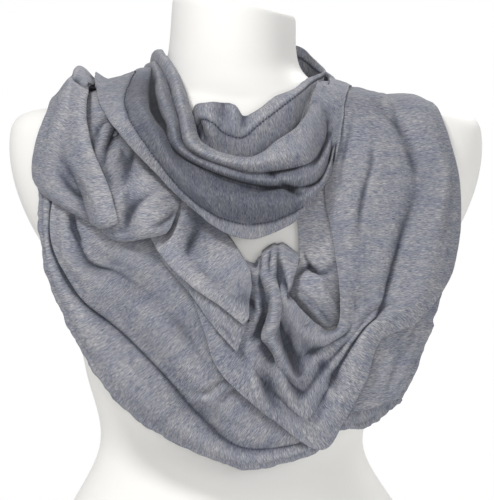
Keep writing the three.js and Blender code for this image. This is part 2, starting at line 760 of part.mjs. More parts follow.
function backLine(row) {
  const half = (sign, crest) => [
    behind(sign * row.low * 0.52, mix(row.centreZ, row.lowZ, 0.2), row.rise),
    behind(sign * row.low, row.lowZ, row.rise),
    behind(sign * row.side, row.sideZ, row.rise * 0.8),
    over(mix(crest, sign * row.side, 0.65), 128, row.rise * 0.5 + row.crestRise * 0.5),
    over(mix(crest, sign * row.side, 0.3), 108, row.crestRise),
  ];
  return [
    over(row.crest, 92.8, row.crestRise),
    ...half(1, row.crest).reverse(),
    behind(0, row.centreZ, row.rise),
    ...half(-1, row.left),
    over(row.left, 88, 0),
  ];
}

lay({
  name: "back_drape",
  across: 2,
  along: 2,
  reach: 1,
  columns: [
    "right crest", "right top", "right slope", "right side", "right low", "right inner", "centre",
    "left inner", "left low", "left side", "left slope", "left top", "left crest",
  ],
  beside: true,
  folds: BACK_FOLDS.map((row) => ({ soft: row.soft, at: backLine(row) })),
});

lay({
  name: "left_crossing_panel",
  columns: ["hidden top", "under wrap", "shown top", "upper", "lower", "tip"],
  across: 2,
  along: 3,
  reach: 1,
  folds: [
    {
      fold: "right edge", soft: 1,
      at: [
        [-50, 410, 0], [-28, 378, 1], [-12, 356, 2], [-2, 341, 3], [7, 326, 5], [9, 311, 3],
      ],
    },
    {
      fold: "upper roll", soft: 1,
      at: [
        [-70, 395, 2], [-52, 368, 4], [-38, 347, 7], [-22, 325, 9], [-8, 309, 9], [7, 300, 3],
      ],
    },
    {
      fold: "lower roll", soft: 1,
      at: [
        [-83.5, 384, 7.5], [-67.1, 360.2, 9], [-53.1, 337.7, 11], [-34.9, 318.7, 11],
        [-13.8, 302.6, 10.5], [6.4, 286.5, 7.5],
      ],
    },
    {
      fold: "first pleat edge", soft: 0.5,
      at: [
        [-91, 379, 5.5], [-75, 355, 6.5], [-60, 332, 8], [-40, 312.5, 8], [-18, 297, 7.5],
        [2, 281, 6.5],
      ],
    },
    {
      fold: "first pleat tuck", soft: 0.5,
      at: [
        [-86, 382.3, 1.5], [-70, 358.3, 1.5], [-55.4, 335.8, 1.5], [-35.4, 316.5, 1.2],
        [-13.1, 300.2, 1.5], [7, 284, 1],
      ],
    },
    {
      fold: "second pleat roll", soft: 1,
      at: [
        [-88.9, 380.4, 0], [-72.9, 356.4, 0.3], [-58.2, 332.2, 0.8], [-38.6, 309.4, 2],
        [-17.2, 289.7, 4], [2.3, 273.4, 1.5],
      ],
    },
    {
      fold: "second pleat edge", soft: 1,
      at: [
        [-92.2, 378.2, 0], [-76.3, 354.2, 0], [-60.7, 328.9, 0], [-39.7, 305, 0.8], [-22, 280, 1],
        [-3.1, 258.7, 1],
      ],
    },
  ],
});

lay({
  name: "left_chest_fold",
  columns: ["top", "shoulder", "upper", "middle", "lower", "lip", "foot"],
  across: 2,
  along: 3,
  reach: 3,
  folds: [
    {
      fold: "left edge", soft: 1,
      at: [
        over(-127, 84, 0), over(-129, 46, 1), [-131, 435, 0], [-126, 405, 0], [-118, 378, 0],
        [-113, 361, 1.5], [-111, 355, 0],
      ],
    },
    {
      fold: "left roll", soft: 1,
      at: [
        over(-114, 84, 1), over(-115, 46, 3), [-114, 438, 6], [-108, 405, 8], [-103, 376, 9],
        [-101, 354, 7], [-101, 348.5, 1],
      ],
    },
    {
      fold: "valley", soft: 0.3,
      at: [
        over(-104, 84, 0), over(-103, 46, 1), [-102, 440, 1], [-94, 412, 1], [-90, 378, 4],
        [-89, 354, 5], [-89, 348.5, 0.5],
      ],
    },
    {
      fold: "shiny roll", soft: 1,
      at: [
        over(-95, 84, 1), over(-94, 46, 2), [-92, 438, 3], [-76, 402, 8], [-72, 376, 12],
        [-72, 358, 9], [-72, 351.5, 1],
      ],
    },
    {
      fold: "right edge", soft: 1,
      at: [
        over(-87, 84, 0), over(-84, 46, 0), [-80, 440, 0], [-58, 400, 1], [-52, 376, 3],
        [-55, 361, 2.5], [-57, 355, 0.5],
      ],
    },
  ],
});

lay({
  name: "left_shoulder_fold",
  columns: ["behind crest", "crest", "over shoulder", "shoulder", "upper", "lower", "lip", "foot"],
  across: 2,
  along: 2,
  reach: 2,
  folds: [
    {
      fold: "outer edge", soft: 1,
      at: [
        over(-142, 125, 0), over(-146, 92, 10), over(-152, 64, 9), [-157, 458, 6], [-169, 425, 3],
        [-171, 402, 2], [-165, 391, 2], [-161, 386, 0],
      ],
    },
    {
      fold: "outer roll", soft: 1,
      at: [
        over(-136, 125, 4), over(-138, 92, 19), over(-142, 64, 17), [-147, 458, 14], [-157, 425, 12],
        [-157, 397, 9], [-149, 382, 7], [-146, 376, 0.5],
      ],
    },
    {
      fold: "inner valley", soft: 0.4,
      at: [
        over(-128, 125, 2), over(-131, 92, 10), over(-135, 64, 9), [-139, 455, 7], [-144, 420, 4],
        [-134, 393, 4], [-129, 370, 4.5], [-127, 364, 0.5],
      ],
    },
    {
      fold: "inner roll", soft: 1,
      at: [
        over(-120, 125, 4.5), over(-125, 92, 14), over(-128, 64, 14), [-131, 455, 13], [-130, 422, 12],
        [-120, 392, 11], [-114, 365, 8], [-112, 358.5, 1.5],
      ],
    },
    {
      fold: "fold edge", soft: 0.6,
      at: [
        over(-114, 125, 2.5), over(-118, 92, 7), over(-122, 64, 8), [-126, 452, 7], [-120, 422, 7],
        [-107, 392, 7], [-100, 368, 5], [-99, 363, 2.5],
      ],
    },
    {
      fold: "tuck", soft: 1,
      at: [
        over(-122, 125, 0), over(-126, 92, 2), over(-130, 64, 2), [-134, 452, 1], [-129, 422, 0],
        [-117, 394, 0], [-110, 374, 0], [-107, 368, 0],
      ],
    },
  ],
});

// Round the neck a point is [x, y, z] in space
wind({
  name: "neck_inner_band",
  columns: [
    "left end", "ruffle left", "ruffle", "ruffle dip", "ruffle right", "front", "front right", "right",
    "right side", "tip side", "tip", "behind tip", "back right", "back", "back left", "left side",
  ],
  across: 2,
  along: 2,
  closed: false,
  reach: 2,
  inside: true,
  folds: [
    {
      fold: "top hem", soft: 1,
      at: [
        [-41, -76, 448], [-37, -82, 459], [-27, -92, 461], [-15, -84, 461], [-5, -93, 459],
        [2, -91, 450], [13, -92, 454], [28, -86, 466], [42, -75, 472], [57, -33, 484], [70, -3, 491],
        [61, 24, 498], [45, 38, 507], [-4, 54, 510], [-44, 41, 503], [-60, 12, 493],
      ],
    },
    {
      fold: "stitch line", soft: 0.7,
      at: [
        [-37, -85, 438], [-33, -95, 447], [-24, -102, 445], [-15, -101, 437], [-6, -103, 433],
        [3, -102, 433], [15, -101, 443], [34, -94, 458], [49, -77, 470], [59.5, -38, 480],
        [69, -4, 487], [60, 24, 491], [44, 37, 498], [-4, 53, 502], [-43, 40, 496], [-59.5, 12, 487],
      ],
    },
    {
      fold: "hidden edge", soft: 1,
      at: [
        [-35, -88, 424], [-31, -97, 417], [-23, -100, 410], [-14, -101, 406], [-5, -101, 405],
        [4, -101, 405], [16, -100, 410], [37, -94, 426], [50, -79, 446], [60, -43, 474], [68, -5, 481],
        [61, 24, 480], [43, 37, 480], [-4, 53, 487], [-42, 39, 486], [-59, 12, 480],
      ],
    },
  ],
});

wind({
  name: "neck_wrap",
  columns: [
    "front", "front left", "left", "left shoulder", "left crest", "left back", "back", "right back",
    "right crest", "right upper", "right shoulder", "right", "front right",
  ],
  parts: [
    { name: "neck_wrap_front", from: "right crest", to: "left crest" },
    { name: "neck_wrap_back", from: "left crest", to: "right crest" },
  ],
  across: 2,
  along: 4,
  closed: true,
  reach: 1,
  folds: [
    {
      fold: "hem", soft: 1,
      at: [
        [5, -127, 350], [-36, -127, 371], [-84, -112, 420], [-112, -82, 454], [-121, -22, 480],
        [-108, 48, 468], [-4, 112, 428], [94, 50, 458], [97, 2, 472], [95, -32, 468], [90, -60, 455],
        [76, -102, 403], [46, -124, 366],
      ],
    },
    {
      fold: "stitch line", soft: 0.6,
      at: [
        [5, -131, 362], [-38, -131, 380], [-78, -120, 428], [-95, -90, 461], [-88, -22, 489],
        [-92, 48, 480], [-4, 110, 442], [90, 50, 464], [94, 2, 474], [92.5, -34, 470], [88, -64, 454],
        [74, -106, 403], [46, -128, 373],
      ],
    },
    {
      fold: "big roll", soft: 1,
      at: [
        [4, -140, 380], [-44, -138, 398], [-70, -126, 436], [-84, -88, 468], [-80, -20, 492],
        [-85, 48, 488], [-4, 108, 458], [85, 50, 471], [92, 2, 477], [90, -37, 472], [86, -69, 454],
        [71, -113, 402], [46, -135, 381],
      ],
    },
    {
      fold: "lower valley", soft: 0.3,
      at: [
        [2, -124, 395], [-47, -124, 415], [-63, -110, 441], [-73, -74, 470], [-75, -14, 493],
        [-79, 42, 487], [-4, 92, 466], [79, 42, 472], [89, 1, 476], [86, -34, 470], [83, -64, 452],
        [67, -107, 403], [44, -122, 391],
      ],
    },
    {
      fold: "thin roll", soft: 1,
      at: [
        [2, -132, 399.5], [-45, -129, 420], [-56, -116, 446], [-66, -80, 476], [-73, -15, 497],
        [-77, 44, 493], [-4, 94, 478], [77, 44, 478], [86, 0, 479], [82, -35, 473], [80, -67, 456],
        [66, -113, 411], [45, -130, 399],
      ],
    },
    {
      fold: "upper valley", soft: 0.3,
      at: [
        [1, -123, 404.5], [-41, -120, 421], [-51, -103, 448], [-60, -66, 478], [-71, -10, 499],
        [-72, 38, 495], [-4, 80, 486], [72, 38, 480], [83, -1, 478], [79, -31, 472], [76, -59, 458],
        [66, -99, 418], [45, -117, 407],
      ],
    },
    {
      fold: "top roll", soft: 1,
      at: [
        [3, -134, 410], [-36, -128, 424], [-46, -107, 453], [-55, -68, 487], [-70, -7, 507],
        [-69, 38, 504], [-4, 82, 500], [68, 40, 489], [80, -2, 482], [75, -33, 478], [69, -63, 466],
        [57, -112, 431], [38, -128, 419],
      ],
    },
    {
      fold: "rim", soft: 1,
      at: [
        [6, -121, 416], [-30, -114, 427], [-40, -92, 454], [-51, -55, 485], [-66, -4, 508],
        [-64, 34, 506], [-4, 70, 507], [66, 35, 492], [77, -3, 482.5], [71, -30, 481], [64, -57, 470],
        [51, -98, 446], [30, -113, 429],
      ],
    },
    {
      fold: "inner turn", soft: 1,
      at: [
        [5, -114, 411], [-29, -110, 422], [-39, -88, 449], [-50, -51, 479], [-65, -4, 503],
        [-63, 33, 501], [-4, 67, 501], [65, 34, 488], [72.5, -4, 482], [65.5, -28.5, 480],
        [60.5, -54, 468], [47, -93, 441], [29, -109, 423],
      ],
    },
  ],
});

export default scarf;
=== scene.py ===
# An infinity scarf of thin heathered jersey, worn doubled on a dress form. Metres, +Z up, front at -Y.
import math

import bpy
import numpy as np
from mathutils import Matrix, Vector


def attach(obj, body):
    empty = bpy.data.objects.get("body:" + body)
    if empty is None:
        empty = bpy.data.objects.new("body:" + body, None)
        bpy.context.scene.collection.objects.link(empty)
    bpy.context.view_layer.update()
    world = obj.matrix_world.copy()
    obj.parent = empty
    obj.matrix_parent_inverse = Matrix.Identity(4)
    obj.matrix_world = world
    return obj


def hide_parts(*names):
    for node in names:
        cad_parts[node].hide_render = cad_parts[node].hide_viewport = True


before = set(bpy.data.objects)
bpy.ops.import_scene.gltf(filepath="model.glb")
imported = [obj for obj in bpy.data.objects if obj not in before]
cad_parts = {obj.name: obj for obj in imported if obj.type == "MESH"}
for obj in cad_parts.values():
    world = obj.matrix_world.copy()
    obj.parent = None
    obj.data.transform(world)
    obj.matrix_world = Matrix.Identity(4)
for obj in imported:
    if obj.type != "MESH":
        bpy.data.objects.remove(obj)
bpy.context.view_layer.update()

# Sizes in millimetres, as in the solids
CLOTH = 1.2  # room that the jersey takes in a stack
GAP = 0.5  # least free space between two layers
LIFT = CLOTH / 2 + GAP  # from what carries a layer to its middle
NECK_LIFT = 1.7 * GAP + CLOTH / 2  # the same for the pieces round the neck
NECK_LOW, NECK_FADE = 476, 25  # height where the neck pieces come free of the chest, and the way to it
PIVOT = 425.0  # height from which the cloth turns over the shoulder
REACH = 60.0  # length along the cloth for one radian of that turn
HALF_TURN = PIVOT + REACH * math.pi  # length at which the cloth starts down the back
BODY_X, BODY_POWER = 2, 2.4  # middle and squareness of the shape that the cloth rests on
BARE = 1.5  # height of the cloth laid so far under which the form counts as bare
CELL = 4.0  # grid cell of the height map
X_LOW, X_CELLS = -220.0, 110  # first place and number of its cells from side to side
S_LOW, S_CELLS = 120.0, 190  # the same along the path over the shoulder

# Sizes in millimetres of what is seen
FINE, ALONG = 10, 18  # mesh rows from one fold to the next, and mesh columns from one point to the next
THIN = 0.9  # thickness of the jersey as drawn
FOLD_EDGE = 0.9  # how much thicker it is where it turns back at a fold
HEM_EDGE = 0.6  # how much thicker it is in a hem
EDGE = 4.5  # width of the overlocked edge of the hanging cloth
SEAM_DEPTH, SEAM_WIDTH, PUCKER_WIDTH = 0.9, 1.2, 3.5  # groove of a seam, and the puckers beside it
STITCH = 3.0  # from one hem stitch to the next
STITCH_SLANT = 0.35  # how far a stitch's ends lie askew, to one side and the other in turn
CREASE = 1.6  # how strongly the creases below are pressed in
CREASE_SHADE_LIMIT, SEAM_PAINTED_SHADOW = 0.5, 0.42  # most shade that such a crease gets painted in, and the painted shadow along a sewn seam
HOLLOW_PAINTED_SHADE, RIDGE_PAINTED_HIGHLIGHT = 0.85, 0.25  # how much shade is painted in a hollow, and how strong the painted highlight on a ridge is
CRUMPLES = ((30, 11, 0.42), (13, 6, 0.28), (6, 4, 0.16))  # size along and across, and height
HOLLOWS = ((3, 0.7), (7, 0.9), (13, 0.7))  # mesh rows to look over for a hollow of the painted shade, and its weight


def table(columns, rows):
    """Named columns of a short table"""
    values = np.array(rows, dtype=float)
    return {name: values[:, k] for k, name in enumerate(columns.split())}


def over(x, turn, rise):
    """A point over the shoulder, at a turn in degrees from the front"""
    return (x, PIVOT + REACH * math.radians(turn), rise, True)


def behind(x, z, rise):
    """A point down the back"""
    return (x, HALF_TURN + PIVOT - z, rise, True)


# Sections of the dress form by height: middle, half width, depth in front and behind, and squareness
FORM_LEVELS = table("z middle half front back square", [
    (0, 0, 158, 106, 112, 2.2),
    (60, -2, 168, 112, 118, 2.2),
    (120, -6, 140, 96, 92, 2.2),
    (180, -8, 110, 82, 70, 2.2),
    (240, -2, 128, 96, 78, 2.2),
    (290, 2, 143, 110, 90, 2.3),
    (325, 4, 156, 112, 96, 2.4),
    (355, 4, 176, 108, 98, 2.5),
    (385, 4, 190, 101, 95, 2.5),
    (412, 4, 197, 92, 87, 2.5),
    (435, 4, 198, 83, 77, 2.4),
    (449, 4, 194, 75, 68, 2.3),
    (457, 4, 182, 70, 61, 2.2),
    (462, 3, 152, 67, 56, 2.1),
    (466, 2, 106, 65, 52, 2),
    (471, 0, 83, 64, 49, 2),
    (480, -4, 68, 63, 47, 2),
    (492, -7, 58, 62, 46, 2),
    (508, -7, 53.5, 62, 46, 2),
    (530, -6, 52, 62, 47, 2),
    (560, -5, 50, 61, 48, 2),
])

# The same for the smooth shape that the cloth rests on
DRAPE_LEVELS = table("z half front back", [
    (100, 178, 104, 96),
    (180, 188, 110, 98),
    (260, 200, 115, 100),
    (325, 205, 115, 102),
    (370, 205, 108, 100),
    (412, 205, 95, 90),
    (435, 206, 88, 82),
    (449, 204, 80, 73),
    (457, 195, 75, 66),
    (464, 160, 72, 61),
    (469, 112, 69, 56),
    (474, 88, 67, 52),
    (482, 72, 65, 49),
    (494, 65, 64, 48),
    (520, 60, 64, 48),
    (560, 58, 64, 48),
])

# Folds of the back: how soft each is, and where it crosses the right and left crest, the side,
# the low part and the middle
BACK_FOLDS = table("soft crest left crestRise side sideZ low lowZ centreZ rise", [
    (1, 143, -146, 0, 168, 402, 122, 345, 318, 2),
    (1, 131, -134, 3, 156, 412, 110, 366, 341, 9),
    (0.3, 110, -120, 1, 142, 420, 101, 381, 361, 3),
    (1, 106, -112, 2, 130, 428, 92, 393, 373, 13),
    (0.3, 100, -105, 2, 118, 436, 80, 407, 388, 3),
    (1, 95, -99, 3, 108, 443, 71, 420, 403, 10),
    (0.3, 90, -94, 2, 99, 450, 62, 431, 417, 2),
    (1, 85, -89, 2, 91, 456, 54, 442, 429, 5),
    (1, 80, -84, 0, 84, 462, 46, 450, 438, 0),
])

# The folds of each stretch, from one edge to the other. A point is its x, its height as seen from the front,
# and its rise off what lies below. Round the neck it is a place in space instead.
LEFT_DRAPE = {
    "outer hem": [
        over(-146, 95, 0), over(-155, 52, 0), (-160, 440, 0), (-164, 400, 0), (-165, 368, 1),
        (-161, 335, 2), (-148, 299, 3), (-128, 256, 3), (-92, 210, 3), (-48, 184, 3), (8, 164, 3),
        (60, 178, 2), (80, 195, 1), (104, 198, 0), (131, 219, 0),
    ],
    "hem roll": [
        over(-138, 95, 1), over(-146, 52, 1), (-152, 440, 1), (-158, 400, 2), (-160, 368, 4),
        (-157, 335, 6), (-140, 299, 9), (-115, 265, 11), (-80, 226, 12), (-43, 196, 12), (5, 172, 9),
        (60, 183, 5), (79, 201, 3), (101, 207, 1), (128, 232, 0),
    ],
    "long valley": [
        over(-130, 95, 0), over(-137, 52, 0), (-144, 440, 0), (-151, 400, 1), (-155, 368, 1),
        (-151, 337, 2), (-130, 302, 2), (-98, 276, 2), (-63, 241, 2), (-33, 207, 2), (4, 181, 3),
        (59, 188, 2), (78, 208, 1), (98, 216, 0), (124, 246, 0),
    ],
    "broad roll": [
        over(-120, 95, 1), over(-126, 52, 1), (-132, 440, 1), (-140, 400, 3), (-146, 366, 7),
        (-139, 332, 11), (-113, 311, 12), (-80, 290, 12), (-50, 256, 12), (-22, 222, 11), (12, 193, 8),
        (59, 194, 3), (77, 216, 1), (95, 226, 0), (120, 258, 0),
    ],
    "crescent valley": [
        over(-108, 95, 0), over(-113, 52, 0), (-118, 440, 0), (-128, 400, 1), (-135, 368, 2),
        (-124, 333, 3), (-98, 322, 4.5), (-66, 300, 7.5), (-38, 268, 8), (-12, 238, 6.5), (22, 206, 4),
        (60, 201, 1.5), (76, 224, 0), (93, 236, 0), (116, 270, 0),
    ],
    "upper roll": [
        over(-95, 95, 1), over(-99, 52, 1), (-104, 440, 1), (-112, 400, 2), (-118, 368, 5), (-102, 345, 8),
        (-78, 335, 8), (-50, 312, 6), (-24, 284, 5), (2, 254, 4), (32, 220, 2), (62, 210, 1), (77, 233, 0),
        (92, 246, 0), (112, 282, 0),
    ],
    "inner edge": [
        over(-84, 95, 0), over(-87, 52, 0), (-90, 440, 0), (-92, 400, 0), (-90, 370, 0), (-78, 356, 0),
        (-52, 345, 0), (-26, 322, 0), (-4, 292, 0), (18, 264, 0), (44, 232, 0), (66, 221, 0), (78, 243, 0),
        (91, 258, 0), (108, 296, 0),
    ],
}

RIGHT_FLAP = {
    "wavy hem": [
        (172, 345, 0), (168, 315, 1), (156, 283, 2), (147, 253, 3), (139, 235, 3), (132, 221, 3),
    ],
    "outer roll": [
        (162, 345, 1), (156, 314, 2), (145, 283, 6), (136, 252, 8), (130, 233, 8), (125, 219.5, 6),
    ],
    "valley": [
        (146, 345, 0), (142, 313, 1), (133, 283, 4), (125, 250, 6), (119, 231, 6.5), (115, 216, 5),
    ],
    "inner roll": [
        (130, 345, 0), (126, 313, 1), (118, 280, 4), (112, 248, 7), (107, 229, 7), (104, 212.5, 5),
    ],
    "inner edge": [
        (112, 345, 0), (108, 310, 0), (98, 276, 0), (89, 244, 0), (83, 226, 0), (80, 207, 0),
    ],
}

RIGHT_INNER_STRIP = {
    "left edge": [
        (45, 410, 0), (46, 370, 1), (47, 345, 1), (47, 331, 2), (43, 323, 2), (38.5, 314, 3), (42, 303, 3),
        (51, 291.5, 2), (64, 280, 1),
    ],
    "left roll": [
        (53, 410, 1), (53, 370, 2), (54, 345, 2), (54, 332, 2), (52, 324.5, 3), (50, 315, 11),
        (53, 303, 15), (60, 290, 10), (69, 278, 3),
    ],
    "right roll": [
        (64, 410, 1), (63, 370, 2), (64, 345, 2), (64, 332, 2), (63, 324, 3), (62, 315, 11), (65, 302, 15),
        (69, 290, 9), (73, 278.5, 3),
    ],
    "hidden edge": [
        (88, 410, 0), (88, 370, 1.2), (88, 345, 1.2), (88, 332, 1), (87, 324, 0), (87, 314, 0),
        (87, 302, 0), (85, 291, 0), (79, 281, 0),
    ],
}

RIGHT_PANEL = {
    "outer hem": [
        over(143, 92, 0), over(155, 52, 0), (168, 441, 0), (179, 400, 1), (179, 356, 2), (169, 316, 2),
        (143, 283, 3), (113, 268, 3), (101, 236, 3), (84, 204, 3), (64, 180, 3), (24, 206, 3),
        (-16, 242, 2), (-29, 275, 1), (-40, 305, 0), (-50, 322, 0), (-60, 335, 0),
    ],
    "outer roll": [
        over(131, 92, 3), over(142, 52, 5), (154, 444, 6), (166, 400, 7), (162, 356, 8), (152, 318, 8),
        (130, 292, 8), (104, 276, 8), (90, 242, 8), (76, 214, 7), (58, 193, 6), (24, 216, 8), (-8, 250, 6),
        (-22, 280, 4), (-32, 312, 1), (-42, 330, 0), (-52, 344, 0),
    ],
    "soft valley": [
        over(110, 92, 1), over(120, 52, 1), (131, 440, 2), (143, 400, 2), (132, 355, 2), (120, 315, 2),
        (112, 290, 3), (99, 277, 5), (80, 248, 3), (68, 224, 3), (52, 205, 3), (25, 228, 3), (0, 260, 3),
        (-12, 288, 2), (-20, 320, 1), (-30, 340, 0), (-40, 354, 0),
    ],
    "small ridge": [
        over(106, 92, 2), over(115, 52, 3), (124, 440, 4), (130, 400, 5), (122, 355, 6), (113, 315, 6),
        (106, 290, 6), (95.5, 276, 6.5), (77, 252, 6), (65, 234, 6), (50, 217, 6), (27, 240, 6),
        (8, 266, 5), (12, 290, 7), (11, 312, 8), (10, 325, 8), (9.5, 330, 2),
    ],
    "dark crease": [
        over(100, 92, 2.5), over(107, 52, 4), (115, 441, 5.5), (118, 400, 6.5), (112, 355, 7),
        (107, 315, 7), (101, 290, 7), (93, 275.5, 7), (75, 256, 6), (62, 242, 5), (49, 227, 4),
        (30, 248, 2), (16, 272, 4), (19, 292, 8), (16, 314, 9), (16, 333, 7), (16, 337, 2),
    ],
    "main ridge": [
        over(95, 92, 3), over(100, 52, 5), (107, 442, 6), (107, 400, 7.5), (103, 355, 8), (100, 315, 8.5),
        (96, 290, 8.5), (89.5, 275, 9), (72, 260, 9), (59, 250, 9), (47, 238, 10), (34, 254, 12),
        (25, 272, 15), (27, 296, 16), (23, 318, 14), (23, 341, 9), (23, 344.5, 3),
    ],
    "second crease": [
        over(90, 92, 2.5), over(93, 52, 4), (98, 443, 5.5), (96, 400, 7.5), (95, 355, 8), (93, 315, 8.5),
        (91, 289, 8.5), (85.7, 275, 8), (68, 264, 6), (56, 259, 5), (46, 255, 4), (37, 266, 4),
        (32, 281, 5), (31.5, 300, 6), (30.5, 320, 9), (30, 343, 9), (30, 346.5, 3.5),
    ],
    "light ridge": [
        over(85, 92, 2), over(87, 52, 3), (90, 444, 4), (84, 398, 6), (85, 355, 7), (86, 315, 7),
        (86, 288, 8), (81.5, 276.5, 9), (69, 270, 10), (58, 272, 10), (49, 277, 10), (43, 284, 10),
        (37, 294.5, 10), (36, 308, 9), (37.5, 324, 9), (37, 341.5, 8), (37, 345, 3),
    ],
    "inner edge": [
        over(80, 92, 0), over(81, 52, 1), (82, 444, 1), (68, 392, 0.3), (74, 352, 1.5), (79, 316, 4),
        (80, 290, 5), (77, 278, 3), (70, 276, 2), (62, 281, 2), (54, 288, 2), (45.5, 297, 2), (40, 306, 2),
        (42, 315.5, 3), (45, 325, 4), (47, 334.5, 5), (47, 337, 2),
    ],
}

LEFT_CROSSING_PANEL = {
    "right edge": [
        (-50, 410, 0), (-28, 378, 1), (-12, 356, 2), (-2, 341, 3), (7, 326, 5), (9, 311, 3),
    ],
    "upper roll": [
        (-70, 395, 2), (-52, 368, 4), (-38, 347, 7), (-22, 325, 9), (-8, 309, 9), (7, 300, 3),
    ],
    "lower roll": [
        (-83.5, 384, 7.5), (-67.1, 360.2, 9), (-53.1, 337.7, 11), (-34.9, 318.7, 11), (-13.8, 302.6, 10.5),
        (6.4, 286.5, 7.5),
    ],
    "first pleat edge": [
        (-91, 379, 5.5), (-75, 355, 6.5), (-60, 332, 8), (-40, 312.5, 8), (-18, 297, 7.5), (2, 281, 6.5),
    ],
    "first pleat tuck": [
        (-86, 382.3, 1.5), (-70, 358.3, 1.5), (-55.4, 335.8, 1.5), (-35.4, 316.5, 1.2), (-13.1, 300.2, 1.5),
        (7, 284, 1),
    ],
    "second pleat roll": [
        (-88.9, 380.4, 0), (-72.9, 356.4, 0.3), (-58.2, 332.2, 0.8), (-38.6, 309.4, 2), (-17.2, 289.7, 4),
        (2.3, 273.4, 1.5),
    ],
    "second pleat edge": [
        (-92.2, 378.2, 0), (-76.3, 354.2, 0), (-60.7, 328.9, 0), (-39.7, 305, 0.8), (-22, 280, 1),
        (-3.1, 258.7, 1),
    ],
}

LEFT_CHEST_FOLD = {
    "left edge": [
        over(-133, 112, 2), over(-134, 46, 2), (-131, 435, 0), (-126, 405, 0), (-118, 378, 0),
        (-113, 361, 1.5), (-111, 355, 0),
    ],
    "left roll": [
        over(-114, 112, 2), over(-115, 46, 3), (-114, 438, 6), (-108, 405, 8), (-103, 376, 9),
        (-101, 354, 7), (-101, 348.5, 1),
    ],
    "valley": [
        over(-104, 112, 1), over(-103, 46, 1), (-102, 440, 1), (-94, 412, 1), (-90, 378, 4), (-89, 354, 5),
        (-89, 348.5, 0.5),
    ],
    "shiny roll": [
        over(-95, 112, 1), over(-94, 46, 2), (-92, 438, 3), (-76, 402, 8), (-72, 376, 12), (-72, 358, 9),
        (-72, 351.5, 1),
    ],
    "right edge": [
        over(-87, 112, 0), over(-84, 46, 0), (-80, 440, 0), (-56, 402, 0.2), (-49, 380, 0.3), (-55, 362, 1),
        (-60, 354, 0.4),
    ],
}

LEFT_SHOULDER_FOLD = {
    "outer edge": [
        over(-142, 125, 0), over(-147, 92, 0.5), over(-153, 64, 2), (-158, 458, 3), (-169, 425, 3),
        (-171, 402, 2), (-165, 391, 2), (-161, 386, 0),
    ],
    "outer roll": [
        over(-136, 125, 4), over(-138, 92, 18), over(-142, 64, 17), (-147, 458, 14), (-157, 425, 12),
        (-157, 397, 9), (-149, 382, 7), (-146, 376, 0.5),
    ],
    "inner valley": [
        over(-128, 125, 4), over(-131, 92, 15), over(-135, 64, 15), (-139, 455, 13), (-145, 420, 10),
        (-134, 396, 5.5), (-125, 371, 4), (-123, 364, 0.5),
    ],
    "inner roll": [
        over(-120, 125, 3), over(-125, 92, 7), over(-128, 64, 10), (-131, 455, 12), (-130, 422, 12),
        (-120, 392, 11), (-114, 365, 8), (-112, 358.5, 1.5),
    ],
    "fold edge": [
        over(-114, 125, 1), over(-118, 92, 2), over(-122, 64, 4), (-126, 452, 7), (-120, 422, 7),
        (-107, 392, 7), (-100, 368, 5), (-99, 363, 2.5),
    ],
    "tuck": [
        over(-122, 125, 0), over(-126, 92, 2), over(-130, 64, 2), (-134, 452, 1), (-129, 422, 0),
        (-117, 394, 0), (-110, 374, 0), (-107, 368, 0),
    ],
}

NECK_INNER_BAND = {
    "top hem": [
        (-41, -76, 448), (-37, -82, 459), (-27, -92, 461), (-15, -84, 461), (-5, -93, 459), (2, -91, 450),
        (13, -92, 454), (28, -86, 466), (42, -75, 472), (57, -33, 484), (70, -3, 491), (61, 24, 498),
        (45, 38, 507), (-4, 54, 510), (-44, 41, 503), (-60, 12, 493),
    ],
    "stitch line": [
        (-37, -85, 438), (-33, -95, 447), (-24, -102, 445), (-15, -101, 437), (-6, -103, 433),
        (3, -102, 433), (15, -101, 443), (34, -94, 458), (49, -77, 470), (59.5, -38, 480), (69, -4, 487),
        (60, 24, 491), (44, 37, 498), (-4, 53, 502), (-43, 40, 496), (-59.5, 12, 487),
    ],
    "hidden edge": [
        (-35, -88, 424), (-31, -97, 417), (-23, -100, 410), (-14, -101, 406), (-5, -101, 405),
        (4, -101, 405), (16, -100, 410), (37, -94, 426), (50, -79, 446), (60, -43, 474), (68, -5, 481),
        (61, 24, 480), (43, 37, 480), (-4, 53, 487), (-42, 39, 486), (-59, 12, 480),
    ],
}

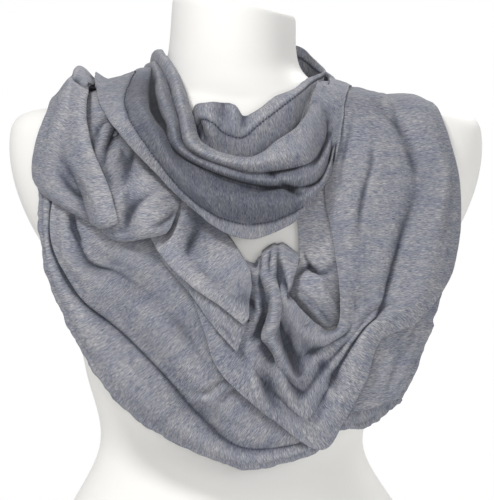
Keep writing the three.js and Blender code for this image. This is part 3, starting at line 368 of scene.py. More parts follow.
NECK_WRAP = {
    "hem": [
        (5, -127, 350), (-36, -127, 371), (-84, -112, 420), (-112, -82, 454), (-121, -22, 480),
        (-108, 48, 468), (-4, 112, 428), (92, 50, 459), (93, 2, 473), (90, -33, 469), (85, -62, 455),
        (73, -104, 403), (46, -124, 366),
    ],
    "stitch line": [
        (5, -131, 362), (-38, -131, 380), (-78, -120, 428), (-95, -90, 461), (-88, -22, 489),
        (-92, 48, 480), (-4, 110, 442), (89, 50, 464), (91, 2, 475), (88.5, -35, 471), (83.5, -66, 455),
        (71.5, -108, 403), (46, -128, 373),
    ],
    "big roll": [
        (4, -140, 380), (-44, -138, 398), (-70, -126, 436), (-84, -88, 468), (-80, -20, 492),
        (-85, 48, 488), (-4, 108, 458), (85, 50, 471), (89.5, 2, 477), (87, -38, 473), (82, -71, 455),
        (69.5, -114, 402), (46, -135, 381),
    ],
    "lower valley": [
        (2, -124, 395), (-47, -124, 415), (-63, -110, 441), (-73, -74, 470), (-75, -14, 493),
        (-79, 42, 487), (-4, 92, 466), (79, 42, 472), (89, 1, 476), (86, -34, 470), (80.5, -66, 453),
        (67, -110, 403), (44, -127, 391),
    ],
    "thin roll": [
        (2, -132, 399.5), (-45, -129, 420), (-56, -116, 446), (-66, -80, 476), (-73, -15, 497),
        (-77, 44, 493), (-4, 94, 478), (77, 44, 478), (86, 0, 479), (82, -35, 473), (80, -67, 456),
        (66, -113, 411), (45, -130, 399),
    ],
    "upper valley": [
        (1, -123, 404.5), (-41, -120, 421), (-51, -103, 448), (-60, -66, 478), (-71, -10, 499),
        (-72, 38, 495), (-4, 80, 486), (72, 38, 480), (83, -1, 478), (79, -31, 472), (76, -60, 458),
        (64, -107, 420), (44, -121, 407),
    ],
    "top roll": [
        (3, -134, 410), (-36, -128, 424), (-46, -107, 453), (-55, -68, 487), (-70, -7, 507), (-69, 38, 504),
        (-4, 82, 500), (68, 40, 489), (80, -2, 482), (75, -33, 478), (69, -63, 466), (57, -112, 431),
        (38, -128, 419),
    ],
    "rim": [
        (6, -121, 416), (-30, -114, 427), (-40, -92, 454), (-51, -55, 485), (-66, -4, 508), (-64, 34, 506),
        (-4, 70, 507), (66, 35, 492), (77, -3, 482.5), (71, -30, 481), (64, -57, 470), (51, -98, 446),
        (30, -113, 429),
    ],
    "inner turn": [
        (5, -114, 411), (-29, -110, 422), (-39, -88, 449), (-50, -51, 479), (-65, -4, 503), (-63, 33, 501),
        (-4, 67, 501), (65, 34, 488), (72.5, -4, 482), (65.5, -28.5, 480), (60.5, -54, 468), (47, -93, 441),
        (29, -109, 423),
    ],
}

# The stretches in the order of laying: mesh steps across and along in the height map, the cells over which
# what lies below is spread, the softness of the folds that are sharper than the rest, which have 1, and the
# columns where a crease starts and ends
PIECES = {
    "left_drape": dict(
        folds=LEFT_DRAPE, steps=(2, 2), reach=1,
        soft={"long valley": 0.25, "crescent valley": 0.3}, ends={"crescent valley": 6},
    ),
    "right_flap": dict(folds=RIGHT_FLAP, steps=(2, 2), reach=2),
    "right_inner_strip": dict(folds=RIGHT_INNER_STRIP, steps=(2, 2), reach=2),
    "right_panel": dict(
        folds=RIGHT_PANEL, steps=(2, 2), reach=1,
        soft={"soft valley": 0.4, "dark crease": 0.2, "second crease": 0.3},
        starts={"dark crease": 10, "second crease": 7}, ends={"dark crease": 11},
    ),
    "left_crossing_panel": dict(
        folds=LEFT_CROSSING_PANEL, steps=(2, 3), reach=1,
        soft={"first pleat edge": 0.5, "first pleat tuck": 0.5},
    ),
    "left_chest_fold": dict(folds=LEFT_CHEST_FOLD, steps=(2, 3), reach=3, soft={"valley": 0.85}),
    "left_shoulder_fold": dict(
        folds=LEFT_SHOULDER_FOLD, steps=(2, 2), reach=2, soft={"inner valley": 0.85, "fold edge": 0.6},
    ),
    "neck_inner_band": dict(folds=NECK_INNER_BAND, steps=(2, 2), reach=2, soft={"stitch line": 0.7}),
    "neck_wrap": dict(
        folds=NECK_WRAP, steps=(2, 4), reach=1,
        soft={"stitch line": 0.6, "lower valley": 0.3, "upper valley": 0.3},
    ),
}


def cubic(t, start, leaving, end, arriving):
    """Smooth way from start to end, with its direction at both"""
    first = start * (2 * t**3 - 3 * t**2 + 1) + leaving * (t**3 - 2 * t**2 + t)
    return first + end * (3 * t**2 - 2 * t**3) + arriving * (t**3 - t**2)


def between(rows, column, height):
    """Smooth value between the rows of a table, by one named column"""
    z, values = rows["z"], rows[column]
    height = np.asarray(height, dtype=float)
    i = np.clip(np.searchsorted(z, height, side="left") - 1, 0, len(z) - 2)
    low, high = np.clip(np.arange(len(z)) - 1, 0, None), np.clip(np.arange(len(z)) + 1, None, len(z) - 1)
    slope = (values[high] - values[low]) / (z[high] - z[low])
    span = z[i + 1] - z[i]
    t = np.clip((height - z[i]) / span, 0, 1)
    return cubic(t, values[i], span * slope[i], values[i + 1], span * slope[i + 1])


def depth_at(levels, z, in_front):
    """Depth of a body at a height, to its front or to its back"""
    return np.where(in_front, between(levels, "front", z), between(levels, "back", z))


def section(x, y, half, depth, power):
    """Below 1 inside the rounded section of a body, and 1 on it"""
    return (np.abs(x) / half) ** power + (np.abs(y) / depth) ** power


def body_depth(x, z, in_front):
    """Depth of the shape that the cloth rests on, at a place in front or behind"""
    share = np.abs(x - BODY_X) / between(DRAPE_LEVELS, "half", z)
    return depth_at(DRAPE_LEVELS, z, in_front) * np.maximum(0, 1 - share**BODY_POWER) ** (1 / BODY_POWER)


def measure_body():
    """Distance from the pivot line to the smooth shape that the cloth rests on"""
    longest, halvings = 125.0, 18
    s, x = np.meshgrid(S_LOW + CELL * np.arange(S_CELLS), X_LOW + CELL * np.arange(X_CELLS), indexing="ij")
    turn = np.clip((s - PIVOT) / REACH, 0, math.pi)
    low, high = np.zeros_like(x), np.full_like(x, longest)
    for _ in range(halvings):
        r = (low + high) / 2
        y, z = -r * np.cos(turn), PIVOT + r * np.sin(turn)
        half, depth = between(DRAPE_LEVELS, "half", z), depth_at(DRAPE_LEVELS, z, y < 0)
        inside = section(x - BODY_X, y, half, depth, BODY_POWER) < 1
        low, high = np.where(inside, r, low), np.where(inside, high, r)
    front, back = body_depth(x, s, True), body_depth(x, PIVOT - (s - HALF_TURN), False)
    return np.where(s < PIVOT, front, np.where(s > HALF_TURN, back, low))


def read(values, x, s):
    """Value of the height map, or of one like it, at any place between its cells"""
    u = np.clip((x - X_LOW) / CELL, 0, X_CELLS - 1.001)
    v = np.clip((s - S_LOW) / CELL, 0, S_CELLS - 1.001)
    i, j = np.floor(u).astype(int), np.floor(v).astype(int)
    f, g = u - i, v - j
    near = values[j, i] * (1 - f) + values[j, i + 1] * f
    far = values[j + 1, i] * (1 - f) + values[j + 1, i + 1] * f
    return near * (1 - g) + far * g


body_radius = measure_body()
laid = np.zeros((S_CELLS, X_CELLS))
grids = {}


def place(x, s, out):
    """A point in space from x, path length and distance off the drape shape"""
    r = read(body_radius, x, s) + out
    turn = np.clip((s - PIVOT) / REACH, 0, math.pi)
    y = -r * np.cos(turn)
    z = PIVOT + r * np.sin(turn)
    z = np.where(s < PIVOT, s, np.where(s > HALF_TURN, PIVOT - (s - HALF_TURN), z))
    return np.stack([x + 0 * y, y, z], axis=-1)


def unplace(points):
    """Path length and distance off the drape shape of points in space"""
    x, y, z = points[..., 0], points[..., 1], points[..., 2]
    above = z > PIVOT
    turned = PIVOT + REACH * np.arctan2(z - PIVOT, -y)
    s = np.where(above, turned, np.where(y > 0, HALF_TURN + PIVOT - z, z))
    r = np.where(above, np.hypot(z - PIVOT, y), np.where(y > 0, y, -y))
    return s, r - read(body_radius, x, s)


def spread(values, cells, pick):
    """Largest or average value of the cells around each cell"""
    for axis in (1, 0):
        edge = [(0, 0), (0, 0)]
        edge[axis] = (cells, cells)
        wide = np.pad(values, edge, mode="edge")
        count = values.shape[axis]
        parts = [np.take(wide, range(k, k + count), axis=axis) for k in range(2 * cells + 1)]
        values = pick(np.stack(parts), axis=0)
    return values


def support_now(cells):
    """Smooth top of all that is laid so far"""
    return spread(spread(laid, cells, np.max), cells, np.mean)


def on_cloth(grid, support):
    """Places a grid of x, path length and rise on what lies below it"""
    x, s, rise = grid[..., 0], grid[..., 1], grid[..., 2]
    return place(x, s, read(support, x, s) + LIFT + rise)


def stamp(grid):
    """Adds a laid grid to the height map"""
    samples = 7  # along each side of a face
    t = np.linspace(0, 1, samples)
    a, b = t[:, None, None, None, None], t[None, :, None, None, None]
    near = grid[:-1, :-1] * (1 - a) + grid[1:, :-1] * a
    far = grid[:-1, 1:] * (1 - a) + grid[1:, 1:] * a
    points = (near * (1 - b) + far * b).reshape(-1, 3)
    s, out = unplace(points)
    u = np.floor((points[:, 0] - X_LOW) / CELL + 0.5).astype(int)
    v = np.floor((s - S_LOW) / CELL + 0.5).astype(int)
    held = (u >= 0) & (v >= 0) & (u < X_CELLS) & (v < S_CELLS)
    np.maximum.at(laid, (v[held], u[held]), out[held] + CLOTH / 2)


def settle(point, support):
    """Turns a point seen from the front into x, path length and rise"""
    if len(point) == 4:
        return point[:3]
    x, z, rise = point
    if z <= PIVOT:
        return point
    s = np.arange(PIVOT, PIVOT + 1.5 * REACH + 0.5, 0.5)  # from the front nearly to the top
    height = place(x, s, read(support, x, s) + rise)[:, 2]
    reached = np.nonzero(height >= z)[0]
    return (x, s[reached[0]] if len(reached) else s[-1], rise)


def hermite(p0, p1, p2, p3, t, soft_start, soft_end):
    """Smooth way from p1 to p2, with a sharp end where the softness there is near 0"""
    longest = 1.4 * np.linalg.norm(p2 - p1, axis=-1, keepdims=True)  # keeps the way from looping

    def tangent(step, soft):
        step = step * 0.5 * soft
        length = np.linalg.norm(step, axis=-1, keepdims=True)
        return step * np.minimum(1, longest / np.maximum(length, 1e-9))

    return cubic(t, p1, tangent(p2 - p0, soft_start), p2, tangent(p3 - p1, soft_end))


def surface(rows, softness, across, along, closed=False):
    """Smooth surface through a table of folds. Softness has a value for each fold and column."""
    rows, softness = np.array(rows, dtype=float), np.array(softness, dtype=float)
    count = rows.shape[1]
    dense, soft = [], []

    def pick(k):
        return k % count if closed else min(max(k, 0), count - 1)

    for k in range(count if closed else count - 1):
        for n in range(along):
            four = [rows[:, pick(k + m)] for m in (-1, 0, 1, 2)]
            dense.append(hermite(*four, n / along, 1, 1))
            soft.append(softness[:, pick(k)] * (1 - n / along) + softness[:, pick(k + 1)] * n / along)
    if not closed:
        dense.append(rows[:, -1])
        soft.append(softness[:, -1])
    dense, soft = np.stack(dense, axis=1), np.stack(soft, axis=1)[..., None]
    grid = []
    last = len(rows) - 1
    for i in range(last):
        before, after = dense[max(0, i - 1)], dense[min(last, i + 2)]
        for n in range(across + (i == last - 1)):
            grid.append(hermite(before, dense[i], dense[i + 1], after, n / across, soft[i], soft[i + 1]))
    return np.stack(grid)


def crease_softness(piece, count):
    """A crease sharpens in the column before its start, and softens again after its end"""
    columns = np.arange(count)
    rows = []
    for fold in piece["folds"]:
        start, end = piece.get("starts", {}).get(fold, 0), piece.get("ends", {}).get(fold, count)
        share = np.clip(columns - start + 1, 0, 1) * np.clip(end + 1 - columns, 0, 1)
        rows.append(1 + (piece.get("soft", {}).get(fold, 1) - 1) * share)
    return rows


def keep_off(points, support, inside):
    """Keeps points off the dress form and off the cloth laid so far"""
    x, y, z = points[..., 0], points[..., 1], points[..., 2]
    half, middle = between(FORM_LEVELS, "half", z), between(FORM_LEVELS, "middle", z)
    depth, power = depth_at(FORM_LEVELS, z, y < 0), between(FORM_LEVELS, "square", z)
    level = section(x - middle, y, half, depth, power) ** (1 / power)
    least = 1 + NECK_LIFT / np.minimum(half, depth)
    grow = np.where((level < least) & (z > NECK_LOW), least / level, 1)
    x, y = middle + (x - middle) * grow, y * grow
    moved = np.stack([x, y, z], axis=-1)
    s, out = unplace(moved)
    below = read(support, x, s)
    free = (z > NECK_LOW) & (inside | (below < BARE))
    push = np.clip((NECK_LOW - z) / NECK_FADE, 0, 1) if inside else 1.0
    wanted = np.maximum(out, below + NECK_LIFT)
    return np.where(free[..., None], moved, place(x, s, out + (wanted - out) * push))


def wind(name, rows, softness, support, steps):
    """Winds a stretch round the neck. Only the outer one goes into the height map."""
    inside, closed = name == "neck_inner_band", name == "neck_wrap"
    if not inside:
        stamp(keep_off(surface(rows, softness, *steps, closed), support, inside))
    grids[name] = keep_off(surface(rows, softness, FINE, ALONG, closed), support, inside)


def lay(name, rows, softness, support, steps):
    """Lays a stretch, coarse for the height map and fine for the cloth that is seen"""
    stamp(on_cloth(surface(rows, softness, *steps), support))
    grids[name] = on_cloth(surface(rows, softness, FINE, ALONG), support)


def back_line(k):
    """One fold of the back, from the right crest to the left one"""
    row = {name: BACK_FOLDS[name][k] for name in BACK_FOLDS}
    rise, crest_rise, centre_z = row["rise"], row["crestRise"], row["centreZ"]

    def half(sign, crest):
        """From beside the middle up to one crest. The last two lie at turns of 128 and 108 degrees."""
        low, side = sign * row["low"], sign * row["side"]
        return [
            behind(low * 0.52, centre_z + (row["lowZ"] - centre_z) * 0.2, rise),
            behind(low, row["lowZ"], rise),
            behind(side, row["sideZ"], rise * 0.8),
            over(crest + (side - crest) * 0.65, 128, (rise + crest_rise) / 2),
            over(crest + (side - crest) * 0.3, 108, crest_rise),
        ]

    right, left = half(1, row["crest"])[::-1], half(-1, row["left"])
    line = right + [behind(0, centre_z, rise)] + left + [over(row["left"], 88, 0)]
    return [point[:3] for point in line]


def lay_panel_and_back(rows, softness, support, steps):
    """The panel goes on over the shoulder as the folds of the back, in one cloth"""
    folds, meeting = range(len(rows)), 92.8  # turn at which the back starts in the height map
    crests = [over(BACK_FOLDS["crest"][k], meeting, BACK_FOLDS["crestRise"][k])[:3] for k in folds]
    back = [back_line(k) for k in folds]
    back_soft = [np.full(len(back[k]) + 1, BACK_FOLDS["soft"][k]) for k in folds]
    parts = (
        on_cloth(surface(rows, softness, *steps), support),
        on_cloth(surface([[crests[k]] + back[k] for k in folds], back_soft, 2, 2), support),
    )
    for part in parts:
        stamp(part)
    whole = [back[k][::-1] + rows[k] for k in folds]
    whole_soft = [np.concatenate([back_soft[k][1:], softness[k]]) for k in folds]
    grids["back_and_right"] = on_cloth(surface(whole, whole_soft, FINE, ALONG), support)


for name, piece in PIECES.items():
    support = support_now(piece["reach"])
    rows = list(piece["folds"].values())
    softness = crease_softness(piece, len(rows[0]))
    if name.startswith("neck"):
        wind(name, rows, softness, support, piece["steps"])
        continue
    rows = [[settle(point, support) for point in fold] for fold in rows]
    if name == "right_panel":
        lay_panel_and_back(rows, softness, support, piece["steps"])
    else:
        lay(name, rows, softness, support, piece["steps"])


# Creases listed on the front: depth (below zero a ridge), width, and points x, z
CREASES = {
    "left_shoulder_fold": [
        (3.0, 2.8, [(-143, 488), (-137, 485), (-130, 480), (-121, 474)]),
        (0.6, 2.6, [(-150, 470), (-156, 452), (-160, 436), (-160, 420)]),
        (1.4, 2.4, [(-150, 408), (-143, 396), (-136, 388), (-128, 383)]),
        (-1.0, 3.0, [(-136, 414), (-128, 401), (-119, 386), (-112, 372)]),
    ],
    "left_chest_fold": [
        (2.6, 2.6, [(-104, 450), (-108, 448), (-113, 446), (-117, 441), (-121, 430)]),
        (2.6, 2.6, [(-98, 443), (-101, 440), (-106, 430), (-111, 418), (-114, 407)]),
        (1.8, 2.8, [(-86, 428), (-88, 420), (-91, 411), (-92, 404)]),
        (-1.6, 3.0, [(-106, 442), (-112, 434), (-116, 422), (-118, 412)]),
        (-1.4, 3.2, [(-95, 434), (-99, 424), (-103, 413), (-106, 404)]),
        (1.3, 4.0, [(-112, 406), (-108, 399), (-104, 391)]),
        (-1.8, 3.8, [(-75, 398), (-86, 395), (-94, 389), (-99, 380), (-101, 371)]),
        (1.9, 3.8, [(-67, 390), (-76, 386), (-85, 379), (-91, 369), (-93, 357)]),
        (-1.8, 3.8, [(-54, 388), (-64, 384), (-74, 377), (-80, 368), (-82, 357)]),
        (2.0, 3.2, [(-48, 376), (-56, 368), (-64, 362), (-72, 359)]),
    ],
    "left_crossing_panel": [
        (-3.0, 6.0, [(-50, 402), (-47, 390), (-46, 378), (-47, 366), (-50, 354)]),
        (-2.0, 3.4, [(-47, 365), (-53, 353), (-58, 340)]),
        (2.4, 4.2, [(-33, 361), (-39, 349), (-44, 336)]),
        (0.7, 2.6, [(-40, 336), (-30, 324), (-20, 314)]),
        (-1.0, 2.6, [(-30, 338), (-18, 326), (-6, 318)]),
        (0.9, 2.0, [(-20, 282), (-12, 276), (-5, 266)]),
    ],
    "neck_inner_band": [
        (2.6, 2.0, [(-34, 445), (-33, 438), (-30, 431), (-27, 426)]),
        (-1.4, 2.6, [(-27, 443), (-24, 436), (-20, 430)]),
    ],
    "neck_wrap": [
        (2.4, 3.2, [(-72, 488), (-73, 470), (-70, 455), (-66, 447), (-60, 438)]),
        (-1.3, 3.0, [(-32, 390), (-25, 382), (-18, 372), (-12, 366)]),
        (1.2, 2.6, [(-44, 404), (-36, 394), (-28, 387), (-18, 380), (-6, 376)]),
        (1.4, 2.8, [(22, 404), (34, 394), (45, 387), (54, 384)]),
        (1.1, 2.4, [(-86, 456), (-82, 444), (-76, 434), (-70, 426)]),
        (1.0, 2.4, [(-100, 470), (-97, 459), (-92, 448)]),
        (1.2, 2.4, [(58, 408), (64, 416), (70, 428), (75, 440)]),
        (-1.0, 2.8, [(-30, 412), (-18, 407), (-4, 404), (12, 404), (26, 406)]),
        (0.9, 2.2, [(-2, 392), (10, 389), (24, 390), (36, 393)]),
    ],
    "back_and_right": [
        (2.0, 4.6, [(105, 468), (115, 458), (123, 450), (130, 443), (136, 434), (140, 420), (142, 408)]),
        (1.1, 3.6, [(146, 390), (142, 380), (134, 360), (127, 340), (121, 320), (117, 300)]),
        (-1.3, 4.0, [(160, 430), (168, 410), (166, 388), (160, 366), (152, 345)]),
        (1.2, 3.0, [(172, 400), (172, 380), (168, 360), (163, 342)]),
        (1.6, 3.0, [(92, 452), (88, 436), (83, 420), (80, 404), (80, 388)]),
        (1.5, 2.8, [(108, 430), (106, 410), (101, 392), (97, 374), (95, 352)]),
        (-1.9, 3.4, [(9, 319), (16, 322), (22, 319), (27, 313), (31, 303), (30, 291), (26, 280),
            (19, 270), (9, 264)]),
        (1.7, 3.0, [(14, 314), (19, 309), (21, 301), (20, 293), (17, 283), (13, 274), (6, 268)]),
        (-1.6, 2.2, [(11, 306), (14, 299), (15, 291), (12, 285), (7, 280)]),
        (1.8, 2.4, [(6, 304), (8, 299), (10, 293)]),
        (2.2, 2.4, [(33, 334), (33, 325), (34, 315), (37, 307), (42, 300)]),
        (2.2, 2.0, [(24, 343), (23, 336), (22, 330), (24, 322)]),
        (2.0, 5.5, [(35, 278), (39, 262), (45, 248), (50, 232), (49, 218)]),
        (-1.7, 3.6, [(29, 264), (31, 252), (33, 238), (38, 224), (45, 212), (54, 200)]),
        (1.9, 5.5, [(22, 262), (22, 246), (23, 228), (29, 212), (38, 200)]),
        (-1.6, 4.0, [(7, 260), (9, 240), (17, 218), (27, 204)]),
        (-1.8, 4.0, [(70, 268), (57, 270), (47, 277), (41, 288)]),
        (1.2, 3.0, [(96, 280), (106, 291), (119, 297), (127, 298)]),
        (1.2, 5.0, [(54, 262), (64, 252), (74, 240), (80, 224)]),
        (-0.9, 4.0, [(62, 234), (72, 226), (78, 214), (76, 202)]),
    ],
    "left_drape": [
        (2.2, 2.2, [(-12, 237), (-22, 230), (-30, 225), (-38, 224)]),
        (-1.8, 2.4, [(-35, 222), (-25, 219), (-17, 217)]),
        (1.6, 2.4, [(-65, 200), (-55, 207), (-45, 212)]),
        (-1.6, 2.2, [(-43, 218), (-33, 223), (-21, 223), (-15, 218)]),
        (-1.5, 2.2, [(-27, 218), (-15, 229), (-3, 238)]),
        (1.5, 2.2, [(-22, 214), (-10, 224), (2, 232)]),
        (1.2, 2.2, [(-92, 236), (-84, 229), (-74, 224)]),
        (1.9, 2.8, [(-140, 373), (-138, 365), (-136, 358), (-132, 351), (-128, 348)]),
        (1.2, 3.0, [(-118, 340), (-104, 330), (-88, 322), (-72, 312)]),
        (1.0, 2.8, [(-60, 292), (-48, 280), (-38, 266), (-30, 252)]),
        (-0.9, 3.2, [(-132, 318), (-118, 300), (-102, 288), (-86, 276)]),
        (1.1, 2.6, [(-100, 262), (-86, 250), (-74, 236), (-64, 222)]),
        (1.0, 2.4, [(-20, 206), (-8, 200), (6, 198), (18, 200)]),
        (0.9, 2.4, [(-150, 350), (-148, 336), (-142, 320), (-134, 306)]),
    ],
    "right_flap": [
        (1.0, 2.6, [(150, 300), (143, 284), (138, 268), (132, 252)]),
        (-0.8, 2.6, [(126, 262), (120, 246), (114, 230)]),
    ],
    "right_inner_strip": [
        (1.4, 2.4, [(44, 321), (50, 326), (56, 327), (63, 323), (70, 323), (76, 331)]),
        (-1.6, 2.4, [(46, 317), (52, 321), (58, 320), (65, 316), (72, 318)]),
        (1.4, 2.6, [(44, 310), (52, 304), (60, 296), (68, 287), (74, 280)]),
        (-1.0, 2.6, [(60, 316), (68, 306), (76, 294), (80, 284)]),
        (0.9, 2.2, [(50, 344), (52, 336), (56, 328), (62, 322)]),
    ],
}

# Where the cloth falls in beside a fold and its lip stands up: the fold, depth, height of the lip,
# and the first and last column
VALLEYS = {
    "left_drape": [("long valley", 1.0, 2.0, 2, 9), ("crescent valley", 0.7, 1.2, 3, 7)],
    "back_and_right": [
        ("dark crease", 1.0, 0.6, 23, 29), ("second crease", 1.2, 0.8, 23, 29),
        ("soft valley", 0.8, 0.8, 16, 21),
    ],
    "left_shoulder_fold": [("inner valley", 1.2, 1.2, 4, 8)],
}

# Patches of painted shade, and of painted light over shaded places, on the front: x, z, half the width and
# height of the patch, and how much darker or paler it is
PAINTED_SHADING_PATCHES = {
    "neck_wrap": [
        (10, 384, 54, 26, 0.78), (-62, 436, 24, 34, 0.9), (62, 424, 22, 34, 0.85),
        (-100, 478, 20, 16, 0.85),
    ],
    "neck_inner_band": [(-14, 436, 22, 14, 0.75), (-32, 436, 4, 8, 0.5)],
    "back_and_right": [
        (95, 464, 46, 22, 0.78), (46, 246, 14, 26, 0.78), (23, 236, 9, 28, 0.82), (14, 300, 12, 26, 0.8),
        (104, 390, 16, 60, 1.08), (150, 400, 14, 60, 0.93),
    ],
    "left_chest_fold": [
        (-108, 430, 12, 22, 0.86), (-112, 470, 14, 14, 1.3), (-72, 386, 22, 18, 1.2),
        (-108, 398, 10, 10, 0.82),
    ],
    "left_crossing_panel": [
        (-58, 372, 18, 14, 0.84), (-35, 353, 10, 18, 0.66), (-53, 350, 6, 16, 1.18),
        (-26, 336, 26, 26, 1.2), (-46, 380, 9, 16, 1.2),
    ],
    "left_drape": [
        (-118, 326, 16, 10, 0.84), (-88, 306, 26, 13, 0.82), (-44, 276, 24, 14, 0.85),
        (-130, 288, 9, 26, 1.1), (-100, 240, 22, 10, 1.08), (-60, 214, 30, 20, 0.9),
    ],
    "right_inner_strip": [(60, 376, 44, 56, 1.5), (52, 300, 12, 12, 0.8)],
}

# Painted shade from one fold to another on the front, where the cloth leans under, and a paler hem
PAINTED_SHADE_BANDS = {
    "neck_wrap": [
        ("hem", "stitch line", 1.1), ("stitch line", "lower valley", 0.56),
        ("lower valley", "upper valley", 0.74),
    ],
    "neck_inner_band": [("top hem", "stitch line", 1.12)],
}

# Creases on the hidden side, in the same way
BACK_CREASES = [
    (1.9, 3.6, [(132, 438), (120, 418), (108, 400), (96, 388)]),
    (1.6, 3.2, [(-128, 436), (-118, 420), (-110, 404), (-100, 392), (-88, 382)]),
    (1.8, 3.4, [(60, 372), (36, 362), (10, 358), (-14, 360)]),
    (-1.5, 3.8, [(-64, 376), (-44, 366), (-24, 362), (-2, 364)]),
    (1.7, 3.0, [(40, 402), (20, 396), (-4, 394), (-24, 397)]),
    (1.4, 2.8, [(-56, 414), (-40, 406), (-22, 404)]),
    (1.5, 3.0, [(84, 358), (66, 346), (46, 340)]),
    (1.3, 3.0, [(-96, 360), (-82, 348), (-66, 340), (-46, 336)]),
    (1.5, 3.4, [(28, 330), (22, 346), (24, 362), (34, 378)]),
    (1.3, 3.0, [(-34, 328), (-30, 344), (-36, 360), (-50, 372)]),
    (-1.2, 3.4, [(70, 330), (64, 348), (66, 366), (76, 382)]),
    (1.2, 2.8, [(108, 372), (100, 384), (98, 400), (104, 416)]),
    (-1.3, 3.2, [(-104, 384), (-96, 396), (-96, 412), (-104, 428)]),
]

# Stretches whose hollows get less painted shade than the rest
SHADE = {"left_drape": 0.66, "back_and_right": 0.66, "left_chest_fold": 0.6}

# How much shade is painted into the listed creases
CREASE_PAINTED_SHADE = {
    "left_shoulder_fold": 0.12, "left_chest_fold": 0.22, "left_crossing_panel": 0.1, "back_and_right": 0.05,
}

# The cloth: its solids, its hem, how wavy that is, whether its edge is a fold, and its flat cut in metres
STRETCHES = [
    ("left_drape", ["left_drape"], EDGE, 1.4, True, (0.10, 0.50)),
    ("right_flap", ["right_flap"], EDGE, 1.8, False, (0.065, 0.135)),
    ("right_inner_strip", ["right_inner_strip"], None, 0, True, (0.045, 0.14)),
    ("back_and_right", ["right_panel", "back_drape"], None, 0, True, (0.12, 0.90)),
    ("left_crossing_panel", ["left_crossing_panel"], None, 0, True, (0.072, 0.14)),
    ("left_chest_fold", ["left_chest_fold"], None, 0, True, (0.068, 0.205)),
    ("left_shoulder_fold", ["left_shoulder_fold"], None, 0, True, (0.068, 0.21)),
    ("neck_inner_band", ["neck_inner_band"], "stitch line", 0.6, False, (0.03, 0.35)),
    ("neck_wrap", ["neck_wrap_front", "neck_wrap_back"], "stitch line", 0.9, False, (0.085, 0.66)),
]


def soft_noise(u, v, step_u, step_v, seed, around=None):
    """Smooth noise from -1 to 1. around is the length after which u comes back to its start."""
    rows, columns = 499, 97
    cells = np.random.default_rng(seed).uniform(-1, 1, (rows, columns))
    count = rows if around is None else max(1, round(around / step_u))
    a = u / step_u if around is None else u / around * count
    b = v / step_v
    i, j = np.floor(a).astype(int), np.floor(b).astype(int)
    f, g = a - i, b - j
    f, g = f * f * (3 - 2 * f), g * g * (3 - 2 * g)
    near = cells[i % count, j % columns] * (1 - f) + cells[(i + 1) % count, j % columns] * f
    far = cells[i % count, (j + 1) % columns] * (1 - f) + cells[(i + 1) % count, (j + 1) % columns] * f
    return near * (1 - g) + far * g


def bell(distance, width):
    """1 in the middle, fading softly on both sides"""
    return np.exp(-((distance / width) ** 2))


def unit(a):
    """Directions of length 1"""
    return a / np.maximum(np.linalg.norm(a, axis=-1, keepdims=True), 1e-9)


def headings(grid, closed):
    """Unit directions along and across the grid"""
    if closed:
        along = unit(grid - np.roll(grid, 1, 1)) + unit(np.roll(grid, -1, 1) - grid)
    else:
        step = unit(grid[:, 1:] - grid[:, :-1])
        along = np.concatenate([step[:, :1], step], 1) + np.concatenate([step, step[:, -1:]], 1)
    step = unit(grid[1:] - grid[:-1])
    across = np.concatenate([step[:1], step], 0) + np.concatenate([step, step[-1:]], 0)
    return unit(along), unit(across)


def lengths(grid, closed):
    """Length along the strand for each column, and across it for each point"""
    wide = np.concatenate([grid, grid[:, :1]], 1) if closed else grid
    step = np.linalg.norm(wide[:, 1:] - wide[:, :-1], axis=-1).mean(axis=0)
    along = np.concatenate([[0], np.cumsum(step)])
    step = np.linalg.norm(grid[1:] - grid[:-1], axis=-1)
    across = np.concatenate([np.zeros((1, grid.shape[1])), np.cumsum(step, axis=0)])
    return along, across


def crease_height(x, z, points, width):
    """Soft profile around a line of points, fading at both ends"""
    points = np.array(points, dtype=float)
    best, where = np.full(x.shape, 1e9), np.zeros(x.shape)
    count = len(points) - 1
    for k in range(count):
        a, step = points[k], points[k + 1] - points[k]
        t = np.clip(((x - a[0]) * step[0] + (z - a[1]) * step[1]) / (step @ step), 0, 1)
        d = np.hypot(x - a[0] - t * step[0], z - a[1] - t * step[1])
        where = np.where(d < best, (k + t) / count, where)
        best = np.minimum(best, d)
    return bell(best, width) * np.sqrt(np.sin(np.pi * np.clip(where, 0.02, 0.98)))


def row_of(name, fold):
    """Grid row of a named fold"""
    piece = "right_panel" if name == "back_and_right" else name
    return list(PIECES[piece]["folds"]).index(fold) * FINE


def hollow(grid, normal, reach, axis, closed=False):
    """How deep each point lies between its neighbours along one axis, for their distance"""
    places = np.arange(grid.shape[axis])
    mode = "wrap" if closed else "clip"
    before, after = (np.take(grid, places + step, axis, mode=mode) for step in (-reach, reach))
    inside = closed | ((places >= reach) & (places < len(places) - reach))
    width = np.maximum(np.linalg.norm(before - after, axis=-1) / 2, 1.5)
    depth = (((before + after) / 2 - grid) * normal).sum(-1) / width
    return depth * (inside[:, None] if axis == 0 else inside)


